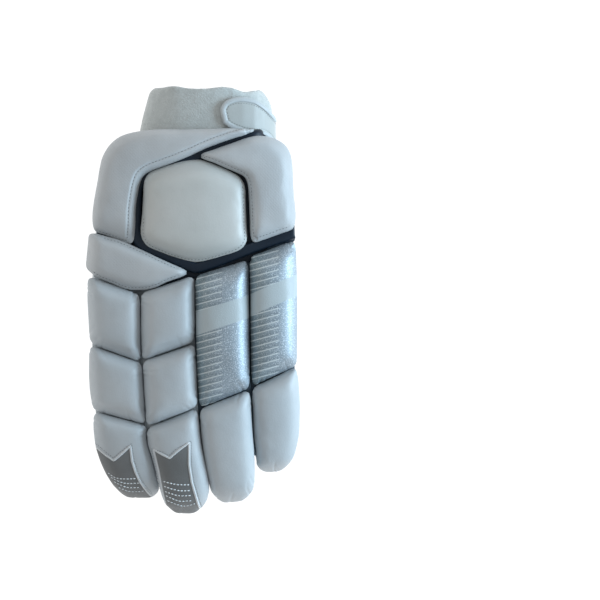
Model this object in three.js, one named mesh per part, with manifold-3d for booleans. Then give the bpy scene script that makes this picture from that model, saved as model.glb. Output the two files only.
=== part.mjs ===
// Cricket batting glove for the left hand, lying palm down.
// Millimetres. X runs from the index side to the little finger side, Y from the fingertips to the cuff, Z up.
// The origin is on the resting surface, at the middle of the glove's length and width.
import * as THREE from 'three';
import Module from 'manifold-3d';
import { mergeVertices } from 'three/addons/utils/BufferGeometryUtils.js';

// Overall sizes
const GLOVE_LENGTH = 320;
const GLOVE_WIDTH = 160;
const HAND_HEIGHT = 60;

// Padding and layers
const BACK_PAD = 15;
const ROLL_PAD = 17;
const TIP_PAD = 15;
const THUMB_PAD = 12;
const SIDE_PAD = 13;
const CHANNEL_LAYER = 2;
const PALM_LEATHER = 2;
const STALL_LEATHER = 1.8;
const TOWELLING = 3;
const STRAP = 2.4;
const SEAM_GAP = 0.45;
const STRAP_GAP = 0.8;
const STALL_GAP = 0.15;

// Fingers and thumb
const STALL_WIDTH = 28;
const THUMB_WIDTH = 28;
const THUMB_ROOT_WIDTH = 24;

// The hand is arched across: its sides lie this much lower than its middle
const CROSS_ARCH = 8;

// Rounding
const BACK_CORNER = 4.5;
const ROLL_CORNER = 4;
const THUMB_CORNER = 9;
const BACK_EDGE = 10;
const ROLL_EDGE = 17;
const TUCK = 1.6;

// How much of its thickness a pad has at its rim, and how squarely it swells from there
const RIM_SHARE = 0.36;
const SWELL_POWER = 2.2;

// Places along the glove, as shares of its length from the fingertips
const WEB = 0.452;
const KNUCKLE = 0.56;
const CUFF_JOINT = 0.775;
const HAND_TIP = 0.03;

// Side view of the hand. reach is 0 at a fingertip, 1 at the knuckles and 2 at the cuff's rim;
// back and palm are shares of HAND_HEIGHT
const SIDE_LINE = [
  { reach: 0.0, back: 0.14, palm: 0.06 },
  { reach: 0.05, back: 0.36, palm: -0.02 },
  { reach: 0.12, back: 0.49, palm: -0.03 },
  { reach: 0.25, back: 0.62, palm: 0.0 },
  { reach: 0.45, back: 0.78, palm: 0.17 },
  { reach: 0.65, back: 0.9, palm: 0.34 },
  { reach: 0.8, back: 0.96, palm: 0.46 },
  { reach: 1.0, back: 1.0, palm: 0.533 },
  { reach: 1.3, back: 1.01, palm: 0.533 },
  { reach: 1.42, back: 1.0, palm: 0.52 },
  { reach: 1.49, back: 0.995, palm: 0.34 },
  { reach: 1.55, back: 0.99, palm: 0.13 },
  { reach: 1.6, back: 0.985, palm: 0.0 },
  { reach: 2.0, back: 0.95, palm: 0.0 },
];

// Fingers: places of their middle lines across the glove, and where each fingertip ends along it
const FINGERS = {
  index: { root: -0.372, middle: -0.348, tip: -0.29, ends: 0.04 },
  middle: { root: -0.12, middle: -0.105, tip: -0.042, ends: 0.003 },
  ring: { root: 0.135, middle: 0.146, tip: 0.182, ends: 0.027 },
  little: { root: 0.372, middle: 0.38, tip: 0.374, ends: 0.097 },
};

// How full a finger stall is from its tip to the web
const STALL_ROWS = [
  { reach: 0.02, full: 0.45 },
  { reach: 0.035, full: 0.7 },
  { reach: 0.07, full: 0.92 },
  { reach: 0.13, full: 1 },
  { reach: 0.2, full: 1 },
  { reach: 0.28, full: 1 },
  { reach: 0.37, full: 1 },
  { reach: 0.47, full: 1 },
  { reach: 0.57, full: 1 },
  { reach: 0.68, full: 1 },
];

// Widths of the palm shell and of the cuff, as shares of GLOVE_WIDTH
const PALM_ROWS = [
  { along: WEB, left: -0.462, right: 0.462 },
  { along: 0.5, left: -0.445, right: 0.46 },
  { along: 0.56, left: -0.385, right: 0.455 },
  { along: 0.63, left: -0.345, right: 0.445 },
  { along: 0.7, left: -0.32, right: 0.43 },
  { along: 0.745, left: -0.28, right: 0.41 },
  { along: CUFF_JOINT, left: -0.24, right: 0.388 },
];
const CUFF_ROWS = [
  { along: CUFF_JOINT, left: -0.24, right: 0.388 },
  { along: 0.82, left: -0.245, right: 0.378 },
  { along: 0.87, left: -0.246, right: 0.368 },
  { along: 0.91, left: -0.241, right: 0.366 },
  { along: 0.955, left: -0.218, right: 0.365 },
  { along: 0.985, left: -0.203, right: 0.342 },
  { along: 1.0, left: -0.188, right: 0.32 },
];

// Pads: each row joins a place on one side to a place on the other, as [across, along] shares
const BACK_PADS = [
  {
    name: 'index_side_pad',
    rows: [
      { outer: [-0.472, 0.6635], inner: [-0.276, 0.6305] },
      { outer: [-0.47, 0.711], inner: [-0.27, 0.707] },
      { outer: [-0.452, 0.77], inner: [-0.255, 0.763] },
      { outer: [-0.428, 0.829], inner: [-0.238, 0.788] },
      { outer: [-0.385, 0.868], inner: [-0.212, 0.799] },
      { outer: [-0.294, 0.893], inner: [-0.16, 0.81] },
      { outer: [-0.154, 0.898], inner: [-0.07, 0.826] },
      { outer: [0.033, 0.9], inner: [0.056, 0.854] },
      { outer: [0.205, 0.901], inner: [0.175, 0.877] },
      { outer: [0.29, 0.9], inner: [0.262, 0.89] },
    ],
    lengthwise: 15,
  },
  {
    name: 'little_side_pad',
    rows: [
      { outer: [0.036, 0.842], inner: [0.038, 0.832] },
      { outer: [0.089, 0.851], inner: [0.098, 0.821] },
      { outer: [0.182, 0.867], inner: [0.173, 0.805] },
      { outer: [0.322, 0.885], inner: [0.22, 0.795] },
      { outer: [0.428, 0.865], inner: [0.245, 0.786] },
      { outer: [0.461, 0.824], inner: [0.257, 0.768] },
      { outer: [0.469, 0.758], inner: [0.262, 0.731] },
      { outer: [0.478, 0.707], inner: [0.266, 0.676] },
      { outer: [0.474, 0.667], inner: [0.272, 0.632] },
    ],
    lengthwise: 13,
  },
  {
    name: 'hexagon_pad',
    rows: [
      { outer: [-0.229, 0.782], inner: [-0.245, 0.648] },
      { outer: [-0.2, 0.799], inner: [-0.212, 0.626] },
      { outer: [-0.117, 0.815], inner: [-0.131, 0.609] },
      { outer: [0.0, 0.83], inner: [0.0, 0.589] },
      { outer: [0.117, 0.813], inner: [0.136, 0.603] },
      { outer: [0.206, 0.791], inner: [0.218, 0.618] },
      { outer: [0.24, 0.772], inner: [0.252, 0.636] },
    ],
    lengthwise: 9,
  },
  {
    name: 'chevron_pad',
    rows: [
      { outer: [-0.489, 0.6595], inner: [-0.504, 0.571] },
      { outer: [-0.425, 0.6515], inner: [-0.43, 0.549] },
      { outer: [-0.341, 0.6385], inner: [-0.341, 0.5325] },
      { outer: [-0.26, 0.6215], inner: [-0.252, 0.516] },
      { outer: [-0.164, 0.5985], inner: [-0.17, 0.533] },
      { outer: [-0.078, 0.58], inner: [-0.083, 0.549] },
      { outer: [-0.03, 0.569], inner: [-0.033, 0.5585] },
    ],
    lengthwise: 10,
  },
];

// Rolls and tip pads of each finger, from the knuckles to the tip
const FINGER_PADS = [
  {
    name: 'index_upper_roll',
    finger: 'index',
    rows: [
      { outer: [-0.496, 0.556], inner: [-0.2505, 0.512] },
      { outer: [-0.494, 0.477], inner: [-0.2495, 0.434] },
      { outer: [-0.485, 0.398], inner: [-0.247, 0.355] },
    ],
  },
  {
    name: 'index_middle_roll',
    finger: 'index',
    rows: [
      { outer: [-0.486, 0.394], inner: [-0.2425, 0.351] },
      { outer: [-0.49, 0.317], inner: [-0.2345, 0.284] },
      { outer: [-0.476, 0.2425], inner: [-0.225, 0.2085] },
    ],
  },
  {
    name: 'index_tip_pad',
    finger: 'index',
    tip: true,
    rows: [
      { outer: [-0.468, 0.238], inner: [-0.221, 0.204] },
      { outer: [-0.471, 0.195], inner: [-0.222, 0.169] },
      { outer: [-0.457, 0.147], inner: [-0.196, 0.124] },
      { outer: [-0.423, 0.101], inner: [-0.177, 0.084] },
      { outer: [-0.366, 0.057], inner: [-0.168, 0.055] },
      { outer: [-0.318, 0.038], inner: [-0.2, 0.037] },
    ],
  },
  {
    name: 'middle_upper_roll',
    finger: 'middle',
    rows: [
      { outer: [-0.2455, 0.516], inner: [0.002, 0.557] },
      { outer: [-0.2445, 0.441], inner: [0.006, 0.477] },
      { outer: [-0.241, 0.3595], inner: [0.003, 0.4015] },
    ],
  },
  {
    name: 'middle_middle_roll',
    finger: 'middle',
    rows: [
      { outer: [-0.2375, 0.3555], inner: [0.006, 0.3975] },
      { outer: [-0.2295, 0.282], inner: [0.014, 0.324] },
      { outer: [-0.219, 0.2035], inner: [0.019, 0.2505] },
    ],
  },
  {
    name: 'middle_tip_pad',
    finger: 'middle',
    tip: true,
    rows: [
      { outer: [-0.215, 0.199], inner: [0.019, 0.246] },
      { outer: [-0.217, 0.169], inner: [0.032, 0.171] },
      { outer: [-0.192, 0.124], inner: [0.051, 0.117] },
      { outer: [-0.164, 0.068], inner: [0.07, 0.063] },
      { outer: [-0.136, 0.023], inner: [0.054, 0.025] },
      { outer: [-0.089, 0.0], inner: [0.003, 0.0] },
    ],
  },
  {
    name: 'ring_long_roll',
    finger: 'ring',
    lengthwise: 11,
    rows: [
      { outer: [0.01, 0.555], inner: [0.257, 0.593] },
      { outer: [0.013, 0.453], inner: [0.26, 0.488] },
      { outer: [0.018, 0.336], inner: [0.262, 0.371] },
      { outer: [0.028, 0.248], inner: [0.263, 0.294] },
    ],
  },
  {
    name: 'ring_tip_pad',
    finger: 'ring',
    tip: true,
    rows: [
      { outer: [0.028, 0.2435], inner: [0.266, 0.2895] },
      { outer: [0.039, 0.171], inner: [0.275, 0.195] },
      { outer: [0.06, 0.101], inner: [0.286, 0.101] },
      { outer: [0.086, 0.049], inner: [0.277, 0.055] },
      { outer: [0.136, 0.027], inner: [0.229, 0.03] },
    ],
  },
  {
    name: 'little_long_roll',
    finger: 'little',
    lengthwise: 11,
    rows: [
      { outer: [0.264, 0.6], inner: [0.478, 0.639] },
      { outer: [0.268, 0.5], inner: [0.486, 0.523] },
      { outer: [0.27, 0.394], inner: [0.486, 0.418] },
      { outer: [0.274, 0.298], inner: [0.485, 0.348] },
    ],
  },
  {
    name: 'little_tip_pad',
    finger: 'little',
    tip: true,
    rows: [
      { outer: [0.273, 0.293], inner: [0.486, 0.3435] },
      { outer: [0.281, 0.218], inner: [0.499, 0.242] },
      { outer: [0.291, 0.136], inner: [0.486, 0.155] },
      { outer: [0.306, 0.107], inner: [0.45, 0.118] },
      { outer: [0.341, 0.097], inner: [0.407, 0.099] },
    ],
  },
];

// Rolls under the overhang at the index side of the palm
const SIDE_ROLLS = [
  {
    name: 'side_roll_upper',
    rows: [
      { outer: [-0.452, 0.695], inner: [-0.35, 0.695] },
      { outer: [-0.462, 0.655], inner: [-0.36, 0.655] },
      { outer: [-0.466, 0.617], inner: [-0.372, 0.617] },
    ],
  },
  {
    name: 'side_roll_lower',
    rows: [
      { outer: [-0.468, 0.608], inner: [-0.38, 0.608] },
      { outer: [-0.474, 0.575], inner: [-0.402, 0.575] },
      { outer: [-0.476, 0.545], inner: [-0.43, 0.545] },
    ],
  },
];

// The dark layer that the back pads are sewn on, from the index side to the little finger side
const CHANNEL_ROWS = [
  { outer: [-0.422, 0.83], inner: [-0.466, 0.572] },
  { outer: [-0.345, 0.866], inner: [-0.4, 0.545] },
  { outer: [-0.245, 0.89], inner: [-0.25, 0.523] },
  { outer: [0.0, 0.893], inner: [-0.01, 0.548] },
  { outer: [0.18, 0.894], inner: [0.18, 0.575] },
  { outer: [0.33, 0.889], inner: [0.32, 0.603] },
  { outer: [0.46, 0.8], inner: [0.47, 0.63] },
];

// The thumb lies across under the palm, from its root near the index side to its tip
const THUMB_LINE = [
  { across: -0.235, along: 0.695, height: 1.0, lean: 0.0 },
  { across: -0.2, along: 0.687, height: 0.5, lean: 0.5 },
  { across: -0.14, along: 0.672, height: 0.5, lean: 1.0 },
  { across: 0.03, along: 0.634, height: 0.5, lean: 1.0 },
  { across: 0.2, along: 0.596, height: 0.5, lean: 1.0 },
  { across: 0.29, along: 0.576, height: 0.5, lean: 1.0 },
  { across: 0.325, along: 0.568, height: 0.5, lean: 1.0 },
];
const THUMB_FULLNESS = [1, 1, 1, 1, 0.95, 0.78, 0.42];
const THUMB_PAD_ROWS = [
  { outer: [-0.2, 0.73], inner: [-0.25, 0.64] },
  { outer: [-0.08, 0.712], inner: [-0.15, 0.615] },
  { outer: [0.1, 0.673], inner: [0.03, 0.573] },
  { outer: [0.28, 0.63], inner: [0.21, 0.532] },
  { outer: [0.345, 0.595], inner: [0.3, 0.536] },
];

// The strap runs round the little finger side of the cuff: turn is the angle round the cuff's section in
// degrees, 90 on the back and -90 on the palm side, and low and high are its edges along the glove
const STRAP_ROWS = [
  { turn: 85.7, low: 0.921, high: 0.948 },
  { turn: 81, low: 0.912, high: 0.961 },
  { turn: 74, low: 0.904, high: 0.972 },
  { turn: 64, low: 0.899, high: 0.976 },
  { turn: 52, low: 0.895, high: 0.971 },
  { turn: 41, low: 0.889, high: 0.962 },
  { turn: 30, low: 0.88, high: 0.95 },
  { turn: 18, low: 0.868, high: 0.938 },
  { turn: 0, low: 0.852, high: 0.93 },
  { turn: -18, low: 0.842, high: 0.94 },
  { turn: -36, low: 0.838, high: 0.958 },
  { turn: -54, low: 0.838, high: 0.971 },
  { turn: -75, low: 0.838, high: 0.975 },
  { turn: -96, low: 0.842, high: 0.972 },
  { turn: -112, low: 0.852, high: 0.957 },
  { turn: -120, low: 0.885, high: 0.93 },
];
const STRAP_STATIONS = 48;
const STRAP_COURSES = 5;
const CUFF_SIDES = 28;

// Finishes
const PAD_LEATHER = new THREE.MeshStandardMaterial({ color: 0xa9b8c2, roughness: 0.42, metalness: 0 });
const PALM_COLOUR = new THREE.MeshStandardMaterial({ color: 0xb8c4cb, roughness: 0.7, metalness: 0 });
const CHANNEL_COLOUR = new THREE.MeshStandardMaterial({ color: 0x141c28, roughness: 0.6, metalness: 0 });
const SILVER_LEATHER = new THREE.MeshStandardMaterial({ color: 0x8b9ba3, roughness: 0.35, metalness: 0.5 });
const CUFF_COLOUR = new THREE.MeshStandardMaterial({ color: 0xa4b0b4, roughness: 0.9, metalness: 0 });
const STRAP_COLOUR = new THREE.MeshStandardMaterial({ color: 0xb4c2c9, roughness: 0.5, metalness: 0 });

const wasm = await Module();
wasm.setup();

// Smooth value of one column of a table, at a place given in its key column
function tableValue(table, key, at, column) {
  const last = table.length - 1;
  const place = THREE.MathUtils.clamp(at, table[0][key], table[last][key]);
  let row = 0;
  while (row < last - 1 && table[row + 1][key] < place) row += 1;
  const slope = (middle) => {
    const before = table[Math.max(middle - 1, 0)];
    const after = table[Math.min(middle + 1, last)];
    return (after[column] - before[column]) / (after[key] - before[key]);
  };
  const span = table[row + 1][key] - table[row][key];
  const t = (place - table[row][key]) / span;
  const rise = table[row + 1][column] - table[row][column];
  const start = slope(row) * span;
  const end = slope(row + 1) * span;
  const bend = start * (1 - t) - end * t + rise * (2 * t - 1);
  return table[row][column] + rise * t + t * (1 - t) * bend;
}

const acrossToX = (across) => across * GLOVE_WIDTH;
const alongToY = (along) => (along - 0.5) * GLOVE_LENGTH;
const xToAcross = (x) => x / GLOVE_WIDTH;
const yToAlong = (y) => y / GLOVE_LENGTH + 0.5;

// 0 at a fingertip, 1 at the knuckles, 2 at the cuff's rim
function reachAt(along, tip) {
  if (along < KNUCKLE) return (along - tip) / (KNUCKLE - tip);
  return 1 + (along - KNUCKLE) / (1 - KNUCKLE);
}

function alongAt(reach, tip) {
  if (reach < 1) return tip + reach * (KNUCKLE - tip);
  return KNUCKLE + (reach - 1) * (1 - KNUCKLE);
}

// Height of the layer that the pads lie on
function backHeight(across, along, tip = HAND_TIP) {
  const crown = tableValue(SIDE_LINE, 'reach', reachAt(along, tip), 'back') * HAND_HEIGHT;
  return crown - CROSS_ARCH * (2 * across) ** 2;
}

function palmHeight(along, tip = HAND_TIP) {
  return tableValue(SIDE_LINE, 'reach', reachAt(along, tip), 'palm') * HAND_HEIGHT;
}

// Welds a geometry, drops collapsed triangles and turns its faces outward
function closedGeometry(source) {
  const bare = source.clone();
  bare.deleteAttribute('normal');
  bare.deleteAttribute('uv');
  const welded = mergeVertices(bare, 1e-3);
  const place = welded.getAttribute('position');
  const index = welded.getIndex().array;
  const corners = [new THREE.Vector3(), new THREE.Vector3(), new THREE.Vector3()];
  const kept = [];
  let volume = 0;
  for (let i = 0; i < index.length; i += 3) {
    const face = [index[i], index[i + 1], index[i + 2]];
    if (new Set(face).size < 3) continue;
    face.forEach((vertex, corner) => corners[corner].fromBufferAttribute(place, vertex));
    volume += corners[0].dot(corners[1].clone().cross(corners[2]));
    kept.push(face);
  }
  if (volume < 0) kept.forEach((face) => face.reverse());
  const solid = new THREE.BufferGeometry();
  solid.setAttribute('position', place);
  solid.setIndex(kept.flat());
  return solid;
}

function toManifold(geometry) {
  const solid = closedGeometry(geometry);
  return new wasm.Manifold(new wasm.Mesh({
    numProp: 3,
    vertProperties: Float32Array.from(solid.getAttribute('position').array),
    triVerts: Uint32Array.from(solid.getIndex().array),
  }));
}

function fromManifold(body) {
  const mesh = body.getMesh();
  const geometry = new THREE.BufferGeometry();
  geometry.setAttribute('position', new THREE.BufferAttribute(mesh.vertProperties, 3));
  geometry.setIndex(new THREE.BufferAttribute(mesh.triVerts, 1));
  return geometry;
}

function addMesh(group, name, geometry, material) {
  geometry.computeVertexNormals();
  const mesh = new THREE.Mesh(geometry, material);
  mesh.name = name;
  group.add(mesh);
}

// Places between 0 and 1 that lie closer together near both ends
function crowdedPlaces(count) {
  return Array.from({ length: count }, (_, i) => {
    const t = i / (count - 1);
    return 0.5 - 0.5 * Math.sign(0.5 - t) * Math.abs(1 - 2 * t) ** 0.72;
  });
}

// Plan of a pad: a curved strip between its outer and inner side, with rounded corners
function padPlan(rows, corner) {
  const curve = (side) => new THREE.CatmullRomCurve3(
    rows.map((row) => new THREE.Vector3(acrossToX(row[side][0]), alongToY(row[side][1]), 0)),
    false,
    'centripetal',
  );
  const outer = curve('outer');
  const inner = curve('inner');
  const length = (outer.getLength() + inner.getLength()) / 2;
  const nearCorner = (distance) => Math.max(1 - distance / corner, 0) ** 2;
  return (s, t, tuck = 0) => {
    const width = outer.getPoint(s).distanceTo(inner.getPoint(s));
    const fromSide = Math.min(t, 1 - t) * width;
    const fromEnd = Math.min(s, 1 - s) * length;
    const reachable = Math.min(corner, width / 2);
    const pull = 0.29 * reachable * nearCorner(fromSide) * nearCorner(fromEnd);
    const sideways = Math.min((pull + tuck) / width, 0.3) * Math.sign(0.5 - t) * Number(fromSide < corner);
    const endways = Math.min((pull + tuck) / length, 0.3) * Math.sign(0.5 - s) * Number(fromEnd < corner);
    const s2 = s + endways;
    const t2 = t + sideways;
    return outer.getPoint(s2).lerp(inner.getPoint(s2), t2);
  };
}

function distanceToOutline(outline, point) {
  let nearest = Infinity;
  const onEdge = new THREE.Vector3();
  outline.forEach((start, i) => {
    const edge = new THREE.Line3(start, outline[(i + 1) % outline.length]);
    edge.closestPointToPoint(point, true, onEdge);
    nearest = Math.min(nearest, onEdge.distanceTo(point));
  });
  return nearest;
}

// A padded piece: a block whose lower face follows the seat and whose upper face swells, rounded at its rim.
// up is 1 where it stands on its seat and -1 where it hangs under it
function padGeometry({ rows, seat, thickness, corner, edge, across = 8, lengthwise = 8, up = 1 }) {
  const plan = padPlan(rows, corner);
  const sPlaces = crowdedPlaces(lengthwise);
  const tPlaces = crowdedPlaces(across);
  const outline = [
    ...tPlaces.map((t) => plan(0, t)),
    ...sPlaces.slice(1).map((s) => plan(s, 1)),
    ...tPlaces.slice(0, -1).reverse().map((t) => plan(1, t)),
    ...sPlaces.slice(1, -1).reverse().map((s) => plan(s, 0)),
  ];
  const block = new THREE.BoxGeometry(1, 1, 1, across - 1, lengthwise - 1, 1);
  const place = block.getAttribute('position');
  for (let i = 0; i < place.count; i += 1) {
    const column = Math.round((place.getX(i) + 0.5) * (across - 1));
    const row = Math.round((place.getY(i) + 0.5) * (lengthwise - 1));
    const free = place.getZ(i) > 0;
    const atRim = column % (across - 1) === 0 || row % (lengthwise - 1) === 0;
    const spot = plan(sPlaces[row], tPlaces[column], !free && atRim ? TUCK : 0);
    const depth = Math.min(distanceToOutline(outline, spot) / edge, 1);
    const bulge = (1 - (1 - depth) ** SWELL_POWER) ** (1 / SWELL_POWER);
    const swell = RIM_SHARE + (1 - RIM_SHARE) * bulge;
    const rise = free ? thickness * swell : 0;
    place.setXYZ(i, spot.x, spot.y, seat(xToAcross(spot.x), yToAlong(spot.y)) + up * rise);
  }
  return closedGeometry(block);
}

// A hollow piece from a lathe: each profile row is one ring, outer rings first and then the inner ones,
// and ringPoint places each of its vertices
function hollowGeometry(profile, sides, ringPoint) {
  const lathe = new THREE.LatheGeometry(profile.map((_, i) => new THREE.Vector2(1 + i, i)), sides);
  const place = lathe.getAttribute('position');
  for (let side = 0; side <= sides; side += 1) {
    const angle = ((side % sides) / sides) * 2 * Math.PI;
    profile.forEach((row, i) => {
      const point = ringPoint(row, angle);
      place.setXYZ(side * profile.length + i, point.x, point.y, point.z);
    });
  }
  return closedGeometry(lathe);
}

// A flattened ring: a value from -1 to 1 that stays near its ends longer than a circle's does
const flattened = (value) => Math.sign(value) * Math.abs(value) ** 0.78;

// A point of a section across the hand, between the back and the palm side
function sectionPoint({ left, right, along, tip, cover, wall, full, floor }, angle) {
  const middle = (acrossToX(left) + acrossToX(right)) / 2;
  const halfWidth = ((acrossToX(right) - acrossToX(left)) / 2) * full - wall;
  const x = middle + halfWidth * flattened(Math.cos(angle));
  const top = backHeight(xToAcross(x), along, tip) - cover;
  const bottom = palmHeight(along, tip);
  const centre = (top + bottom) / 2;
  const halfHeight = ((top - bottom) / 2) * full - wall;
  const z = centre + halfHeight * flattened(Math.sin(angle));
  return new THREE.Vector3(x, alongToY(along), Math.max(z, floor + wall));
}

// Closed ring of rows: outside from the first row to the last, then inside back again
function throughProfile(rows, wall) {
  const outside = rows.map((row) => ({ ...row, wall: 0 }));
  const inside = rows.map((row) => ({ ...row, wall })).reverse();
  return [...outside, ...inside, outside[0]];
}

function palmShell() {
  const rows = PALM_ROWS.map((row) => ({
    ...row,
    cover: CHANNEL_LAYER + SEAM_GAP,
    full: 1,
    floor: 0,
  }));
  const shell = hollowGeometry(throughProfile(rows, PALM_LEATHER), 22, sectionPoint);
  const root = THUMB_LINE[0];
  const hole = new THREE.CylinderGeometry(0.5, 0.5, HAND_HEIGHT / 3, 16);
  hole.rotateX(Math.PI / 2);
  hole.scale(THUMB_ROOT_WIDTH - 2 * STALL_LEATHER, THUMB_WIDTH - 2 * STALL_LEATHER, 1);
  hole.translate(acrossToX(root.across), alongToY(root.along), palmHeight(root.along));
  return fromManifold(toManifold(shell).subtract(toManifold(hole)));
}

// The cuff starts one seam gap behind the palm shell and stands on the strap that runs under it
const cuffRings = CUFF_ROWS.map((row) => ({
  ...row,
  along: row.along + (row.along === CUFF_JOINT ? SEAM_GAP / GLOVE_LENGTH : 0),
  cover: CHANNEL_LAYER + SEAM_GAP,
  full: 1,
  floor: STRAP + STRAP_GAP,
}));

function cuff() {
  return hollowGeometry(throughProfile(cuffRings, TOWELLING), CUFF_SIDES, sectionPoint);
}

// A point at the given distance over the flat faces of the cuff
function overCuff(turn, along, distance) {
  const corner = (turn / 360) * CUFF_SIDES;
  const whole = Math.floor(corner);
  let ring = 0;
  while (ring < cuffRings.length - 2 && cuffRings[ring + 1].along < along) ring += 1;
  const [before, after] = [cuffRings[ring], cuffRings[ring + 1]];
  const edge = (row) => {
    const at = (side) => sectionPoint({ ...row, wall: -distance }, (side / CUFF_SIDES) * 2 * Math.PI);
    return at(whole).lerp(at(whole + 1), corner - whole);
  };
  return edge(before).lerp(edge(after), (along - before.along) / (after.along - before.along));
}

function wristStrap() {
  const turns = STRAP_ROWS.map(({ turn, low, high }) => ({ turn: -turn, low, high }));
  const first = turns[0].turn;
  const last = turns[turns.length - 1].turn;
  const block = new THREE.BoxGeometry(1, 1, 1, STRAP_STATIONS, STRAP_COURSES, 1);
  const place = block.getAttribute('position');
  for (let i = 0; i < place.count; i += 1) {
    const turn = THREE.MathUtils.lerp(first, last, place.getX(i) + 0.5);
    const low = tableValue(turns, 'turn', turn, 'low');
    const high = tableValue(turns, 'turn', turn, 'high');
    const along = THREE.MathUtils.lerp(low, high, place.getY(i) + 0.5);
    const distance = place.getZ(i) > 0 ? STRAP_GAP + STRAP : STRAP_GAP;
    const point = overCuff(-turn, along, distance);
    place.setXYZ(i, point.x, point.y, point.z);
  }
  return closedGeometry(block);
}

function fingerMiddle(finger, along) {
  const line = [
    { along: finger.ends, across: finger.tip },
    { along: 0.23, across: finger.middle },
    { along: 0.5, across: finger.root },
  ];
  return tableValue(line, 'along', along, 'across');
}

// A finger stall: a cup that opens at the web and closes at the fingertip
function fingerStall(finger) {
  const half = STALL_WIDTH / GLOVE_WIDTH / 2;
  const webReach = reachAt(WEB - SEAM_GAP / GLOVE_LENGTH, finger.ends);
  const rows = [...STALL_ROWS, { reach: webReach, full: 1 }].map(({ reach, full }) => {
    const along = alongAt(reach, finger.ends);
    const middle = fingerMiddle(finger, along);
    const section = { along, left: middle - half, right: middle + half, tip: finger.ends };
    return { ...section, cover: STALL_GAP, full, floor: 0, wall: 0 };
  });
  const pole = { ...rows[0], full: 0 };
  const inside = rows.slice(2).map((row) => ({ ...row, wall: STALL_LEATHER }));
  const innerPole = { ...rows[1], full: 0 };
  const profile = [pole, ...rows, ...inside.reverse(), innerPole];
  return hollowGeometry(profile, 16, sectionPoint);
}

// The thumb stall hangs from the palm's thumb hole, turns and lies flat under the palm
function thumbStall() {
  const root = THUMB_LINE[0];
  const low = THUMB_PAD + SEAM_GAP;
  const high = palmHeight(root.along) - SEAM_GAP;
  const tipRow = THUMB_LINE[THUMB_LINE.length - 1];
  const start = new THREE.Vector3(acrossToX(root.across), alongToY(root.along), 0);
  const end = new THREE.Vector3(acrossToX(tipRow.across), alongToY(tipRow.along), 0);
  const forward = end.sub(start).normalize();
  const sideways = new THREE.Vector3(-forward.y, forward.x, 0);
  const deep = (high - low) / 2;
  const rings = THUMB_LINE.map((row, i) => ({ ...row, full: THUMB_FULLNESS[i], wall: 0 }));
  const pole = { ...rings[rings.length - 1], full: 0 };
  const inside = rings.slice(0, -1).map((row) => ({ ...row, wall: STALL_LEATHER })).reverse();
  const innerPole = { ...rings[rings.length - 2], full: 0 };
  const profile = [...rings, pole, innerPole, ...inside, rings[0]];
  return hollowGeometry(profile, 16, (row, angle) => {
    const rise = THREE.MathUtils.lerp(THUMB_ROOT_WIDTH / 2, deep, row.lean) * row.full;
    const halfWidth = (THUMB_WIDTH / 2) * row.full;
    const tilt = row.lean * (Math.PI / 2);
    const upward = forward.clone().multiplyScalar(Math.cos(tilt));
    upward.z = Math.sin(tilt);
    const centre = new THREE.Vector3(acrossToX(row.across), alongToY(row.along), low + 2 * deep * row.height);
    const wall = row.full > 0 ? row.wall : 0;
    centre.addScaledVector(sideways, (halfWidth - wall) * flattened(Math.cos(angle)));
    centre.addScaledVector(upward, (rise - wall) * flattened(Math.sin(angle)));
    return centre;
  });
}

const glove = new THREE.Group();

addMesh(glove, 'back_base', padGeometry({
  rows: CHANNEL_ROWS,
  seat: (across, along) => backHeight(across, along) - CHANNEL_LAYER,
  thickness: CHANNEL_LAYER / RIM_SHARE,
  corner: BACK_CORNER,
  edge: Infinity,
  across: 9,
  lengthwise: 9,
}), CHANNEL_COLOUR);

BACK_PADS.forEach(({ name, rows, lengthwise }) => {
  const seat = (across, along) => backHeight(across, along) + SEAM_GAP;
  const pad = { rows, seat, lengthwise, thickness: BACK_PAD, corner: BACK_CORNER, edge: BACK_EDGE };
  addMesh(glove, name, padGeometry(pad), PAD_LEATHER);
});

FINGER_PADS.forEach(({ name, finger, rows, lengthwise, tip }) => {
  const seat = (across, along) => backHeight(across, along, FINGERS[finger].ends) + SEAM_GAP;
  const thickness = tip ? TIP_PAD : ROLL_PAD;
  const pad = { rows, seat, lengthwise: tip ? 12 : lengthwise, thickness, corner: ROLL_CORNER, edge: ROLL_EDGE };
  const silver = name.endsWith('long_roll');
  addMesh(glove, name, padGeometry(pad), silver ? SILVER_LEATHER : PAD_LEATHER);
});

SIDE_ROLLS.forEach(({ name, rows }) => {
  const seat = (across, along) => backHeight(across, along) - CHANNEL_LAYER - SEAM_GAP;
  const roll = { rows, seat, thickness: SIDE_PAD, corner: ROLL_CORNER / 2, edge: ROLL_EDGE / 2, up: -1 };
  addMesh(glove, name, padGeometry({ ...roll, across: 6, lengthwise: 6 }), PAD_LEATHER);
});

addMesh(glove, 'palm_shell', palmShell(), PALM_COLOUR);

Object.entries(FINGERS).forEach(([name, finger]) => {
  addMesh(glove, `${name}_stall`, fingerStall(finger), PALM_COLOUR);
});

addMesh(glove, 'thumb_stall', thumbStall(), PALM_COLOUR);

addMesh(glove, 'thumb_pad', padGeometry({
  rows: THUMB_PAD_ROWS,
  seat: () => THUMB_PAD,
  thickness: THUMB_PAD,
  corner: THUMB_CORNER,
  edge: BACK_EDGE,
  up: -1,
}), PAD_LEATHER);

addMesh(glove, 'cuff', cuff(), CUFF_COLOUR);

addMesh(glove, 'wrist_strap', wristStrap(), STRAP_COLOUR);

export default glove;
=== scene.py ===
"""Looks of a left-hand cricket batting glove that lies palm down, built around its fixed frame."""
import logging
import math
import random
from collections.abc import Iterable, Sequence
from dataclasses import dataclass, field, replace
from enum import Enum

import bmesh
import bpy
import numpy as np
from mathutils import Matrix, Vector, noise
from mathutils.bvhtree import BVHTree


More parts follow.
